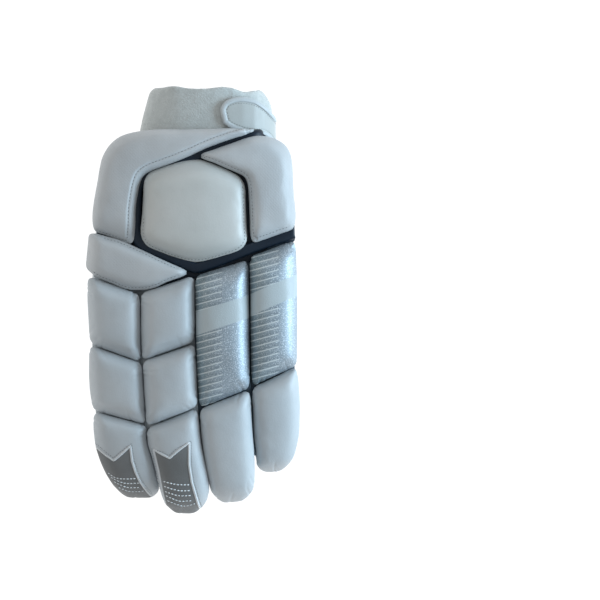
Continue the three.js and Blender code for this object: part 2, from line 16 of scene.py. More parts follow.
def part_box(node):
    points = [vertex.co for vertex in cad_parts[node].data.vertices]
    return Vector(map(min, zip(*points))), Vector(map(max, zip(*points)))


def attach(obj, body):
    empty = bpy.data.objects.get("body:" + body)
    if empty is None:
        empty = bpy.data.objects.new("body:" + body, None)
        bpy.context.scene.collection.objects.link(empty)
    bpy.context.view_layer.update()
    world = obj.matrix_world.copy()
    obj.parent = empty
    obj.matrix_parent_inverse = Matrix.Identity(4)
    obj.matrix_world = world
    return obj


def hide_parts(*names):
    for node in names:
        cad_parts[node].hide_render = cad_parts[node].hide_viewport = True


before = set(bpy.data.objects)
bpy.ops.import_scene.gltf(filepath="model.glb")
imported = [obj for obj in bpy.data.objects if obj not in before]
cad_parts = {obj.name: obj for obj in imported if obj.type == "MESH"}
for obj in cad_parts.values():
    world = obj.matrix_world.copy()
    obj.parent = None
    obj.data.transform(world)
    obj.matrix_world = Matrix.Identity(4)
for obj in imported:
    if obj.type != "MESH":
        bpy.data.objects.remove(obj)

log = logging.getLogger("glove")

MM = 0.001
BODY = "root"
SKY = 0.3
QUICK_LEVEL = 2
FINE_LEVEL = 3
FIT_ROUNDS = 5
PULL_SHARE = 0.8
CUT_REACH = 2.0

Colour = tuple[float, float, float]
Point2 = tuple[float, float]
Point3 = tuple[float, float, float]
Hit = tuple[Vector, Vector]        # a point on a surface and its outward normal, in metres
Socket = bpy.types.NodeSocket
Value = float | tuple[float, ...] | Socket


class Slot(Enum):
    """Material slots of the record."""

    PAD = "pad_leather"
    PANEL = "panel_leather"
    SILVER = "silver_leather"
    CHANNEL = "channel_leather"
    PALM = "palm_leather"
    TOWEL = "towelling"
    STRAP = "strap_leather"


class Facing(Enum):
    """Side of the glove that a detail is laid on, as the direction of its outward side along Z."""

    BACK = 1
    PALM = -1


class Surface(Enum):
    """How the leather of a finish is worked."""

    SMOOTH = "smooth"
    DIMPLED = "dimpled"
    MESH = "mesh"


class Tree:
    """A node tree with short calls for the nodes that the finishes use."""

    def __init__(self, tree: bpy.types.NodeTree) -> None:
        """Keeps the tree."""
        self.tree = tree

    def add(self, kind: str, **inputs: Value) -> bpy.types.Node:
        """Adds a node and sets or links its inputs.

        Args:
            kind: the node's type name.
            inputs: value or output socket for each input, by its name with spaces as underscores.

        Returns:
            The new node.
        """
        node = self.tree.nodes.new(kind)
        for name, value in inputs.items():
            self.feed(node.inputs[name.replace("_", " ")], value)
        return node

    def feed(self, socket: Socket, value: Value) -> None:
        """Sets a socket to a value, or links it to an output socket.

        Args:
            socket: the input socket.
            value: the value or the output socket.
        """
        if isinstance(value, Socket):
            self.tree.links.new(value, socket)
        else:
            socket.default_value = value

    def math(self, operation: str, first: Value, second: Value = 0.0, third: Value = 0.0) -> Socket:
        """Adds a Math node.

        Args:
            operation: the node's operation.
            first: its first value or socket.
            second: its second value or socket.
            third: its third value or socket.

        Returns:
            The output socket.
        """
        node = self.tree.nodes.new("ShaderNodeMath")
        node.operation = operation
        for socket, value in zip(node.inputs, (first, second, third)):
            self.feed(socket, value)
        return node.outputs[0]

    def ramp(self, value: Value, low: float, high: float) -> Socket:
        """Adds a smooth step.

        Args:
            value: the value that is mapped.
            low: where the step is 0.
            high: where it is 1.

        Returns:
            The output socket.
        """
        node = self.add("ShaderNodeMapRange")
        node.interpolation_type = "SMOOTHSTEP"
        for name, part in (("Value", value), ("From Min", low), ("From Max", high)):
            self.feed(node.inputs[name], part)
        return node.outputs["Result"]

    def mix(self, factor: Value, first: Value, second: Value) -> Socket:
        """Mixes two colours.

        Args:
            factor: share of the second colour.
            first: the first colour or its socket.
            second: the second colour or its socket.

        Returns:
            The output socket.
        """
        node = self.tree.nodes.new("ShaderNodeMix")
        node.data_type = "RGBA"
        for socket, value in ((node.inputs[0], factor), (node.inputs[6], first), (node.inputs[7], second)):
            self.feed(socket, (*value, 1.0) if isinstance(value, tuple) and len(value) == 3 else value)
        return node.outputs[2]

    def noise(self, vector: Socket, scale: float, detail: float = 3.0, rough: float = 0.55) -> Socket:
        """Adds a noise texture and gives its value."""
        node = self.add("ShaderNodeTexNoise", Vector=vector, Scale=scale, Detail=detail, Roughness=rough)
        return node.outputs[0]

    def bump(
        self, height: Socket, distance: float, strength: float = 1.0, normal: Socket | None = None
    ) -> Socket:
        """Adds a Bump node.

        Args:
            height: the relief's height, as a socket.
            distance: how far that height stands out, in metres.
            strength: the share of the relief that is used.
            normal: the normal that the relief is laid over, if there is one.

        Returns:
            The new normal's socket.
        """
        node = self.add("ShaderNodeBump", Height=height, Distance=distance, Strength=strength)
        if normal is not None:
            self.feed(node.inputs["Normal"], normal)
        return node.outputs[0]


def group_tree(
    name: str, inputs: dict[str, float], outputs: Sequence[str]
) -> tuple[Tree, bpy.types.Node, bpy.types.Node]:
    """Starts a shader node group that reads a vector and some numbers.

    Args:
        name: the group's name.
        inputs: default of each number, by its name.
        outputs: names of the outputs, all numbers.

    Returns:
        The tree, its input node and its output node.
    """
    tree = bpy.data.node_groups.new(name, "ShaderNodeTree")
    tree.interface.new_socket("Vector", in_out="INPUT", socket_type="NodeSocketVector")
    for label, value in inputs.items():
        socket = tree.interface.new_socket(label, in_out="INPUT", socket_type="NodeSocketFloat")
        socket.default_value = value
    for label in outputs:
        tree.interface.new_socket(label, in_out="OUTPUT", socket_type="NodeSocketFloat")
    return Tree(tree), tree.nodes.new("NodeGroupInput"), tree.nodes.new("NodeGroupOutput")


def leather_grain_group() -> bpy.types.NodeTree:
    """Builds the group for leather: pebbled grain, faint creasing and a slow drift of tone.

    Returns:
        The group.
    """
    inputs = {"Pebble": 900.0, "Drift": 22.0}
    t, source, sink = group_tree("leather grain", inputs, ("Grain", "Tone", "Scuff"))
    vector = source.outputs["Vector"]
    cells = t.add("ShaderNodeTexVoronoi", Vector=vector, Scale=source.outputs["Pebble"])
    cells.feature = "SMOOTH_F1"
    fine = t.noise(vector, 2200.0, 2.0)
    t.feed(sink.inputs["Grain"], t.math("MULTIPLY_ADD", fine, 0.35, cells.outputs["Distance"]))
    slow = t.add("ShaderNodeTexNoise", Vector=vector, Scale=source.outputs["Drift"], Detail=2.0)
    t.feed(sink.inputs["Tone"], t.ramp(slow.outputs[0], 0.3, 0.7))
    t.feed(sink.inputs["Scuff"], t.ramp(t.noise(vector, 140.0, 5.0, 0.7), 0.45, 0.75))
    return t.tree


def dimple_group() -> bpy.types.NodeTree:
    """Builds the group for punched leather: a staggered grid of small round dimples.

    Returns:
        The group.
    """
    t, source, sink = group_tree("dimples", {"Pitch": 0.0024, "Stretch": 1.0}, ("Dimple",))
    split = t.add("ShaderNodeSeparateXYZ", Vector=source.outputs["Vector"])
    pitch = source.outputs["Pitch"]
    u = t.math("DIVIDE", split.outputs["X"], pitch)
    v = t.math("DIVIDE", split.outputs["Y"], t.math("MULTIPLY", pitch, source.outputs["Stretch"]))
    nearest = None
    for shift in (0.0, 0.5):
        across = t.math("SUBTRACT", t.math("FRACT", t.math("ADD", u, shift)), 0.5)
        along = t.math("SUBTRACT", t.math("FRACT", t.math("ADD", v, shift)), 0.5)
        far = t.math("SQRT", t.math("ADD", t.math("POWER", across, 2.0), t.math("POWER", along, 2.0)))
        nearest = far if nearest is None else t.math("MINIMUM", nearest, far)
    t.feed(sink.inputs["Dimple"], t.ramp(nearest, 0.3, 0.12))
    return t.tree


def pile_group() -> bpy.types.NodeTree:
    """Builds the group for towelling: loops in courses, broken up, with a slow drift of tone.

    Returns:
        The group.
    """
    t, source, sink = group_tree("towelling pile", {"Loop": 700.0}, ("Loops", "Tone"))
    vector = source.outputs["Vector"]
    cells = t.add("ShaderNodeTexVoronoi", Vector=vector, Scale=source.outputs["Loop"])
    cells.inputs["Randomness"].default_value = 0.55
    course = t.add("ShaderNodeTexWave", Vector=vector, Scale=210.0, Distortion=3.5, Detail=2.0)
    course.bands_direction = "DIAGONAL"
    round_tops = t.math("SUBTRACT", 1.0, cells.outputs["Distance"])
    t.feed(sink.inputs["Loops"], t.math("MULTIPLY_ADD", course.outputs["Fac"], 0.12, round_tops))
    t.feed(sink.inputs["Tone"], t.ramp(t.noise(vector, 260.0, 5.0, 0.7), 0.3, 0.7))
    return t.tree


def hatch_group() -> bpy.types.NodeTree:
    """Builds the group for the printed hatching: slanting lines that run in from one edge of a roll, with a
    soft painted shade over that side.

    Returns:
        The group.
    """
    inputs = {"Slope": 0.27, "Pitch": 0.0048, "End": 0.02}
    t, source, sink = group_tree("slanting hatch", inputs, ("Line", "Shade", "Area"))
    split = t.add("ShaderNodeSeparateXYZ", Vector=source.outputs["Vector"])
    x, y = split.outputs["X"], split.outputs["Y"]
    slid = t.math("SUBTRACT", y, t.math("MULTIPLY", x, source.outputs["Slope"]))
    wave = t.math("FRACT", t.math("DIVIDE", slid, source.outputs["Pitch"]))
    area = t.ramp(t.math("SUBTRACT", source.outputs["End"], x), -0.0004, 0.0006)
    # Soft ramp over the hatched side, sent out as Area: it darkens that side as painted shade, standing in
    # for a dark reflection.
    soft = t.ramp(t.math("SUBTRACT", source.outputs["End"], x), 0.0, 0.02)
    line = t.math("MULTIPLY", t.ramp(wave, 0.0, 0.07), t.ramp(wave, 0.25, 0.17))
    shade = t.math("MULTIPLY", t.ramp(wave, 0.2, 0.32), t.ramp(wave, 0.85, 0.4))
    t.feed(sink.inputs["Line"], t.math("MULTIPLY", line, area))
    t.feed(sink.inputs["Shade"], t.math("MULTIPLY", shade, area))
    t.feed(sink.inputs["Area"], soft)
    return t.tree


class Groups:
    """The shared node groups, each built once."""

    def __init__(self) -> None:
        """Builds the groups."""
        self.grain = leather_grain_group()
        self.dimples = dimple_group()
        self.pile = pile_group()
        self.hatch = hatch_group()

    @staticmethod
    def place(t: Tree, group: bpy.types.NodeTree, **inputs: Value) -> bpy.types.Node:
        """Places a group in a tree and sets its inputs.

        Args:
            t: the tree.
            group: the group.
            inputs: value or output socket for each input, by its name.

        Returns:
            The group's node.
        """
        node = t.tree.nodes.new("ShaderNodeGroup")
        node.node_tree = group
        for name, value in inputs.items():
            t.feed(node.inputs[name], value)
        return node


def start_material(name: str) -> tuple[bpy.types.Material, Tree, bpy.types.Node, Socket]:
    """Starts a material.

    Args:
        name: the material's name.

    Returns:
        The material, its tree, its Principled shader and the object coordinates.
    """
    material = bpy.data.materials.new(name)
    material.use_nodes = True
    t = Tree(material.node_tree)
    shader = material.node_tree.nodes["Principled BSDF"]
    return material, t, shader, t.add("ShaderNodeTexCoord").outputs["Object"]


@dataclass(frozen=True)
class LeatherFinish:
    """Coated leather, smooth, dimpled or as a punched mesh, with painted shade in the dimples and holes."""

    name: str
    dark: Colour
    light: Colour
    roughness: float = 0.44
    spread: float = 0.1
    grain: float = 0.00009
    pebble: float = 900.0
    surface: Surface = Surface.SMOOTH
    pitch: float = 0.0024
    stretch: float = 1.0
    coat: float = 0.03
    shine: float = 0.3

    def build(self, groups: Groups) -> bpy.types.Material:
        """Builds the material.

        Args:
            groups: the shared groups.

        Returns:
            The material.
        """
        material, t, shader, coords = start_material(self.name)
        grain = groups.place(t, groups.grain, Vector=coords, Pebble=self.pebble)
        colour = t.mix(grain.outputs["Tone"], self.dark, self.light)
        shadow = tuple(0.8 * part for part in self.dark)
        colour = t.mix(t.math("MULTIPLY", grain.outputs["Scuff"], 0.16), colour, shadow)
        normal = t.bump(grain.outputs["Grain"], self.grain)
        if self.surface is not Surface.SMOOTH:
            dimples = groups.place(t, groups.dimples, Vector=coords, Pitch=self.pitch, Stretch=self.stretch)
            # The dimples and holes are sunk and also darkened; the darkening is painted shade in them.
            depth, dimple_shade = (0.0008, 0.75) if self.surface is Surface.MESH else (0.00003, 0.03)
            sunk = t.math("MULTIPLY", dimples.outputs["Dimple"], -1.0)
            normal = t.bump(sunk, depth, 1.0, normal)
            share = t.math("MULTIPLY", dimples.outputs["Dimple"], dimple_shade)
            colour = t.mix(share, colour, tuple(0.35 * part for part in self.dark))
        t.feed(shader.inputs["Base Color"], colour)
        smoothest = self.roughness - self.spread / 2
        roughness = t.math("MULTIPLY_ADD", grain.outputs["Scuff"], self.spread, smoothest)
        t.feed(shader.inputs["Roughness"], roughness)
        t.feed(shader.inputs["Normal"], normal)
        shader.inputs["Specular IOR Level"].default_value = self.shine
        shader.inputs["Coat Weight"].default_value = self.coat
        shader.inputs["Coat Roughness"].default_value = 0.35
        return material


@dataclass(frozen=True)
class SilverFinish:
    """Metallic leather with a pale slanting band, and light hatching that runs in from one edge, where the
    leather is darkened with painted shade.
    """

    name: str
    silver: Colour
    hatched_and_shaded: Colour
    band: Colour
    line: Colour
    flake: Colour
    band_at: Point2
    band_slope: float
    band_width: float
    hatch_end: float

    def build(self, groups: Groups) -> bpy.types.Material:
        """Builds the material.

        Args:
            groups: the shared groups.

        Returns:
            The material.
        """
        material, t, shader, coords = start_material(self.name)
        split = t.add("ShaderNodeSeparateXYZ", Vector=coords)
        x, y = split.outputs["X"], split.outputs["Y"]
        rise = t.math("MULTIPLY", t.math("SUBTRACT", x, self.band_at[0] * MM), self.band_slope)
        off = t.math("ABSOLUTE", t.math("SUBTRACT", t.math("SUBTRACT", y, self.band_at[1] * MM), rise))
        half = self.band_width * MM / 2
        band = t.ramp(off, half + 0.0002, half - 0.0002)
        hatch = groups.place(t, groups.hatch, Vector=coords, End=self.hatch_end * MM)
        grain = groups.place(t, groups.grain, Vector=coords, Pebble=1300.0)
        speck = t.noise(coords, 1500.0, 1.0, 0.5)
        # Towards the hatched edge the colour turns darker: partly the print's own tone, partly painted shade.
        colour = t.mix(hatch.outputs["Area"], self.silver, self.hatched_and_shaded)
        shadow = tuple(0.6 * part for part in self.hatched_and_shaded)
        colour = t.mix(t.math("MULTIPLY", hatch.outputs["Shade"], 0.3), colour, shadow)
        # Flakes are sparser under the painted shade of the hatched side.
        dense = t.math("MULTIPLY_ADD", hatch.outputs["Area"], -0.35, 0.7)
        colour = t.mix(t.math("MULTIPLY", t.ramp(speck, 0.5, 0.72), dense), colour, self.flake)
        colour = t.mix(t.math("MULTIPLY", hatch.outputs["Line"], 0.85), colour, self.line)
        t.feed(shader.inputs["Base Color"], t.mix(band, colour, self.band))
        bare = t.math("SUBTRACT", 1.0, band)
        printed = t.math("SUBTRACT", 1.0, t.math("MULTIPLY", hatch.outputs["Line"], 0.7))
        t.feed(shader.inputs["Metallic"], t.math("MULTIPLY", t.math("MULTIPLY", bare, printed), 0.65))
        t.feed(shader.inputs["Roughness"], t.math("MULTIPLY_ADD", speck, 0.2, 0.46))
        normal = t.bump(grain.outputs["Grain"], 0.00012)
        t.feed(shader.inputs["Normal"], t.bump(speck, 0.00013, 0.7, normal))
        shader.inputs["Coat Weight"].default_value = 0.1
        return material


@dataclass(frozen=True)
class TowelFinish:
    """Elastic towelling with small loops."""

    name: str
    dark: Colour
    light: Colour
    loop: float = 950.0
    depth: float = 0.00028

    def build(self, groups: Groups) -> bpy.types.Material:
        """Builds the material.

        Args:
            groups: the shared groups.

        Returns:
            The material.
        """
        material, t, shader, coords = start_material(self.name)
        pile = groups.place(t, groups.pile, Vector=coords, Loop=self.loop)
        colour = t.mix(pile.outputs["Tone"], self.dark, self.light)
        shaded = t.math("MULTIPLY", t.ramp(pile.outputs["Loops"], 1.1, 0.5), 0.22)
        t.feed(shader.inputs["Base Color"], t.mix(shaded, colour, tuple(0.55 * part for part in self.dark)))
        t.feed(shader.inputs["Roughness"], t.math("MULTIPLY_ADD", pile.outputs["Tone"], 0.12, 0.7))
        t.feed(shader.inputs["Normal"], t.bump(pile.outputs["Loops"], self.depth))
        shader.inputs["Sheen Weight"].default_value = 0.35
        shader.inputs["Sheen Roughness"].default_value = 0.4
        return material


@dataclass(frozen=True)
class ThreadFinish:
    """Twisted sewing thread."""

    name: str
    colour: Colour

    def build(self, groups: Groups) -> bpy.types.Material:
        """Builds the material.

        Args:
            groups: the shared groups.

        Returns:
            The material.
        """
        material, t, shader, coords = start_material(self.name)
        grain = groups.place(t, groups.grain, Vector=coords, Pebble=2600.0)
        dark = tuple(0.7 * part for part in self.colour)
        t.feed(shader.inputs["Base Color"], t.mix(grain.outputs["Scuff"], self.colour, dark))
        t.feed(shader.inputs["Normal"], t.bump(grain.outputs["Grain"], 0.0001))
        shader.inputs["Roughness"].default_value = 0.6
        return material


Finish = LeatherFinish | SilverFinish | TowelFinish | ThreadFinish

PAD_WHITE = LeatherFinish("pad leather", (0.43, 0.475, 0.505), (0.48, 0.52, 0.545), 0.43)
PAD_DIMPLED = LeatherFinish(
    "dimpled pad leather", (0.44, 0.47, 0.49), (0.49, 0.515, 0.53), 0.46, surface=Surface.DIMPLED
)
PANEL_WHITE = LeatherFinish("panel leather", (0.495, 0.52, 0.51), (0.535, 0.555, 0.545), 0.42, grain=0.00005)
PALM_WHITE = LeatherFinish(
    "palm leather", (0.37, 0.425, 0.465), (0.43, 0.48, 0.515), 0.62, grain=0.00014, coat=0.0
)
PALM_PANEL = LeatherFinish(
    "palm panel leather", (0.2, 0.25, 0.3), (0.25, 0.3, 0.35), 0.6, grain=0.00014, coat=0.0
)
PALM_MESH = LeatherFinish(
    "punched palm leather", (0.4, 0.46, 0.5), (0.46, 0.51, 0.545), 0.6,
    surface=Surface.MESH, pitch=0.0044, stretch=0.8,
)
CAP_GREY = LeatherFinish(
    "tip cap leather", (0.15, 0.158, 0.16), (0.19, 0.2, 0.205), 0.45, grain=0.00007, coat=0.0, shine=0.2
)
FLANGE_PALE = LeatherFinish("folded edge leather", (0.56, 0.6, 0.62), (0.62, 0.65, 0.67), 0.45)
CHANNEL_NAVY = LeatherFinish("channel leather", (0.004, 0.012, 0.024), (0.008, 0.018, 0.032), 0.48, coat=0.0)
BACKING_PALE = LeatherFinish("pale backing leather", (0.42, 0.465, 0.495), (0.47, 0.51, 0.535), 0.6, coat=0.0)
BACKING_NAVY = LeatherFinish("navy backing leather", (0.05, 0.075, 0.1), (0.07, 0.095, 0.12), 0.6, coat=0.0)
STRAP_WHITE = LeatherFinish("strap leather", (0.395, 0.42, 0.415), (0.43, 0.455, 0.445), 0.45, grain=0.00005)
BINDING_WHITE = LeatherFinish("strap binding leather", (0.44, 0.48, 0.5), (0.48, 0.52, 0.535), 0.42)
CUFF_TOWEL = TowelFinish("cuff towelling", (0.485, 0.525, 0.52), (0.575, 0.615, 0.61))
# Dark grey thread: partly the thread's own tone, partly painted shade standing for the shadowed stitches.
THREAD_GREY_AND_SHADED = ThreadFinish("grey thread with painted shade", (0.16, 0.18, 0.19))
# Pale thread: partly the thread's own colour, partly painted highlight.
THREAD_PALE_AND_HIGHLIT = ThreadFinish("pale thread with painted highlight", (0.8, 0.86, 0.9))
# The hatched side's colour is darker than the silver: partly the print's tone, partly painted shade.
RING_SILVER = SilverFinish(
    "ring roll silver",
    silver=(0.31, 0.37, 0.42), hatched_and_shaded=(0.22, 0.29, 0.32), band=(0.42, 0.485, 0.51),
    line=(0.6, 0.66, 0.67), flake=(0.8, 0.88, 0.94),
    band_at=(21.5, -11.5), band_slope=0.33, band_width=17.4, hatch_end=21.8,
)
LITTLE_SILVER = replace(
    RING_SILVER, name="little roll silver",
    band_at=(60.0, 3.7), band_slope=0.43, band_width=16.3, hatch_end=64.1,
)


class Wardrobe:
    """Builds each finish's material once and hands it out."""

    def __init__(self) -> None:
        """Builds the shared groups."""
        self.groups = Groups()
        self.made: dict[str, bpy.types.Material] = {}

    def material(self, finish: Finish) -> bpy.types.Material:
        """Gives the material of a finish, built at the first call.

        Args:
            finish: the finish.

        Returns:
            The material.
        """
        if finish.name not in self.made:
            self.made[finish.name] = finish.build(self.groups)
        return self.made[finish.name]


def link(name: str, bm: bmesh.types.BMesh) -> bpy.types.Object:
    """Writes a bmesh to a new object in the scene.

    Args:
        name: the object's name.
        bm: its mesh, which is freed.

    Returns:
        The object.
    """
    mesh = bpy.data.meshes.new(name)
    bm.to_mesh(mesh)
    bm.free()
    obj = bpy.data.objects.new(name, mesh)
    bpy.context.scene.collection.objects.link(obj)
    return obj


def node_bmesh(node: str, quads: bool = True) -> bmesh.types.BMesh:
    """Copies a node of the frame as a merged mesh.

    Args:
        node: the node's name.
        quads: joins its triangles to quads.

    Returns:
        The copy.
    """
    bm = bmesh.new()
    bm.from_mesh(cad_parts[node].data)
    bmesh.ops.remove_doubles(bm, verts=bm.verts, dist=0.01 * MM)
    if quads:
        bmesh.ops.join_triangles(
            bm, faces=bm.faces, angle_face_threshold=math.radians(60), angle_shape_threshold=math.radians(180)
        )
    return bm


def bake(obj: bpy.types.Object) -> None:
    """Applies an object's modifiers to its mesh.

    Args:
        obj: the object.
    """
    graph = bpy.context.evaluated_depsgraph_get()
    mesh = bpy.data.meshes.new_from_object(obj.evaluated_get(graph))
    obj.modifiers.clear()
    old = obj.data
    obj.data = mesh
    bpy.data.meshes.remove(old)


def subdivide(obj: bpy.types.Object, levels: int, fitted: int = 0) -> None:
    """Smooths the object's mesh by subdivision, with the result applied.

    Args:
        obj: the object.
        levels: how often its faces are divided.
        fitted: rounds that pull the smooth surface back to the places of the mesh's own vertices.
    """
    modifier = obj.modifiers.new("Smooth", "SUBSURF")
    modifier.levels = levels
    modifier.render_levels = levels
    mesh = obj.data
    target = vertex_array(mesh)
    for _ in range(fitted):
        mesh.update()
        seen = obj.evaluated_get(bpy.context.evaluated_depsgraph_get()).data
        reached = vertex_array(seen)[: len(target)]
        set_places(mesh, vertex_array(mesh) + PULL_SHARE * (target - reached))
        obj.update_tag()
    bake(obj)


def soften(obj: bpy.types.Object, side: float, rounds: int) -> None:
    """Evens out the ridges of a piece's free side.

    Args:
        obj: the piece.
        side: direction of the free side along Z, 1 or -1.
        rounds: how often each vertex is moved towards its neighbours.
    """
    facing = vertex_array(obj.data, "normal")[:, 2] * side
    group = obj.vertex_groups.new(name="free side")
    for index, weight in enumerate(np.clip((facing - 0.2) / 0.35, 0.0, 1.0)):
        if weight > 0:
            group.add([index], float(weight), "REPLACE")
    modifier = obj.modifiers.new("Soften", "SMOOTH")
    modifier.factor = 0.5
    modifier.iterations = rounds
    modifier.vertex_group = group.name
    bake(obj)
    obj.vertex_groups.clear()


def finish_piece(obj: bpy.types.Object, material: bpy.types.Material) -> None:
    """Keeps a piece above the ground, shades it smooth, dresses it and lets it ride.

    Args:
        obj: the piece.
        material: its material.
    """
    if not obj.data.materials:
        obj.data.materials.append(material)
    places = vertex_array(obj.data)
    places[:, 2] = np.maximum(places[:, 2], 0.0)
    set_places(obj.data, places)
    obj.data.shade_smooth()
    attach(obj, BODY)
    log.info("piece %s with %d faces", obj.name, len(obj.data.polygons))


def vertex_array(mesh: bpy.types.Mesh, what: str = "co") -> np.ndarray:
    """Reads a mesh's vertices.

    Args:
        mesh: the mesh.
        what: "co" for their places in metres, "normal" for their normals.

    Returns:
        One row for each vertex.
    """
    source, name = (mesh.vertices, "co") if what == "co" else (mesh.vertex_normals, "vector")
    values = np.empty(len(mesh.vertices) * 3)
    source.foreach_get(name, values)
    return values.reshape(-1, 3)


def set_places(mesh: bpy.types.Mesh, places: np.ndarray) -> None:
    """Moves a mesh's vertices to places given as rows, in metres."""
    mesh.vertices.foreach_set("co", places.ravel())
    mesh.update()


def push(obj: bpy.types.Object, amount: np.ndarray) -> None:
    """Moves each vertex along its normal by its amount in metres."""
    mesh = obj.data
    set_places(mesh, vertex_array(mesh) + vertex_array(mesh, "normal") * amount[:, None])


def distance_to_path(places: np.ndarray, path: Sequence[Point2]) -> tuple[np.ndarray, np.ndarray]:
    """Measures plan distances to a path.

    Args:
        places: points as rows, in metres.
        path: the path's points in millimetres.

    Returns:
        Each point's distance to the path, and how far along it its nearest point lies, both in millimetres.
    """
    flat = places[:, :2] / MM
    best = np.full(len(flat), np.inf)
    along = np.zeros(len(flat))
    walked = 0.0
    for start, end in zip(path[:-1], path[1:]):
        a, b = np.array(start[:2]), np.array(end[:2])
        span = b - a
        length = float(np.hypot(*span)) or 1e-9
        t = np.clip((flat - a) @ span / length**2, 0.0, 1.0)
        far = np.hypot(*(flat - a - t[:, None] * span).T)
        closer = far < best
        best = np.where(closer, far, best)
        along = np.where(closer, walked + t * length, along)
        walked += length
    return best, along


def smooth_path(points: Sequence[Point2], step: float) -> list[Vector]:
    """Runs a curve through points and walks it in even steps.

    Args:
        points: the points, in millimetres.
        step: the spacing of the result, in millimetres.

    Returns:
        Points along the curve, in millimetres.
    """
    knots = [Vector((*point, 0.0)) for point in points]
    count = len(knots)
    dense: list[Vector] = []
    for i in range(count - 1):
        around = [knots[min(max(i + k, 0), count - 1)] for k in (-1, 0, 1, 2)]
        for k in range(8):
            t = k / 8
            weights = (
                -0.5 * t + t * t - 0.5 * t**3,
                1 - 2.5 * t * t + 1.5 * t**3,
                0.5 * t + 2 * t * t - 1.5 * t**3,
                -0.5 * t * t + 0.5 * t**3,
            )
            dense.append(sum((w * p for w, p in zip(weights, around)), Vector()))
    dense.append(knots[-1].copy())
    return even_steps(dense, step)


def even_steps(dense: Sequence[Vector], step: float) -> list[Vector]:
    """Walks a chain of points in even steps from its start to its end.

    Args:
        dense: the chain's points.
        step: the spacing of the result, about, in the points' unit.

    Returns:
        The steps' points.
    """
    lengths = [0.0]
    for a, b in zip(dense[:-1], dense[1:]):
        lengths.append(lengths[-1] + (b - a).length)
    count = max(int(round(lengths[-1] / step)), 1)
    result = []
    place = 0
    for i in range(count + 1):
        target = lengths[-1] * i / count
        while place < len(dense) - 2 and lengths[place + 1] < target:
            place += 1
        span = lengths[place + 1] - lengths[place] or 1e-9
        result.append(dense[place].lerp(dense[place + 1], (target - lengths[place]) / span))
    return result


def rim_loop(obj: bpy.types.Object) -> list[Vector]:
    """Finds the plan outline of a piece, where its top turns over to its side.

    Args:
        obj: the piece.

    Returns:
        The outline's points in millimetres, counter-clockwise as seen from above.
    """
    bm = bmesh.new()
    bm.from_mesh(obj.data)
    bmesh.ops.triangulate(bm, faces=bm.faces)
    bm.normal_update()
    places: dict[int, Vector] = {}
    links: dict[int, list[int]] = {}
    for edge in bm.edges:
        a, b = edge.verts
        first, second = a.normal.z, b.normal.z
        if (first > 0) != (second > 0):
            places[edge.index] = a.co.lerp(b.co, first / (first - second)) / MM
    for face in bm.faces:
        crossed = [edge.index for edge in face.edges if edge.index in places]
        if len(crossed) == 2:
            links.setdefault(crossed[0], []).append(crossed[1])
            links.setdefault(crossed[1], []).append(crossed[0])
    bm.free()
    points = max(([places[i] for i in chain] for chain in chains(links)), key=plan_area)
    return points if signed_area(points) > 0 else points[::-1]


def signed_area(points: Sequence[Vector]) -> float:
    """Area inside a plan loop, positive where it runs counter-clockwise."""
    return sum(a.x * b.y - b.x * a.y for a, b in zip(points, [*points[1:], points[0]])) / 2


def plan_area(points: Sequence[Vector]) -> float:
    """Area inside a plan loop."""
    return abs(signed_area(points))


def chains(links: dict[int, list[int]]) -> list[list[int]]:
    """Orders linked items into chains.

    Args:
        links: each item's neighbours.

    Returns:
        The items of each chain, in order.
    """
    loops = []
    left = set(links)
    while left:
        start = min(left)
        chain = [start]
        left.discard(start)
        while True:
            following = [i for i in links[chain[-1]] if i in left]
            if not following:
                break
            chain.append(following[0])
            left.discard(following[0])
        loops.append(chain)
    return loops


def outline_of(obj: bpy.types.Object) -> list[Vector]:
    """Gives a piece's plan outline in even steps of a millimetre.

    Args:
        obj: the piece.

    Returns:
        The outline's points in millimetres, with the last next to the first.
    """
    rim = rim_loop(obj)
    flat = [Vector((point.x, point.y, 0.0)) for point in (*rim, rim[0])]
    return even_steps(flat, 1.0)[:-1]


def inset_run(
    obj: bpy.types.Object, inset: float, start: Point2, end: Point2, step: float = 1.0
) -> list[Vector]:
    """Follows a pad's outline from one place to another, some way inside it.

    Args:
        obj: the pad.
        inset: distance inside the outline, in millimetres.
        start: the place where the run starts, in millimetres.
        end: the place where it ends, counter-clockwise from the start.
        step: spacing of the result, in millimetres.

    Returns:
        The run's points in plan, in millimetres.
    """
    loop = outline_of(obj)
    count = len(loop)
    inner = []
    for i, point in enumerate(loop):
        ahead = loop[(i + 3) % count] - loop[(i - 3) % count]
        side = Vector((-ahead.y, ahead.x, 0.0)).normalized()
        inner.append(point + side * inset)

    def nearest(spot: Point2) -> int:
        """Index of the loop point nearest to a place."""
        return min(range(count), key=lambda i: (inner[i].xy - Vector(spot)).length)

    first, last = nearest(start), nearest(end)
    length = (last - first) % count
    run = [inner[(first + i) % count] for i in range(length + 1)]
    return even_steps(run, step)


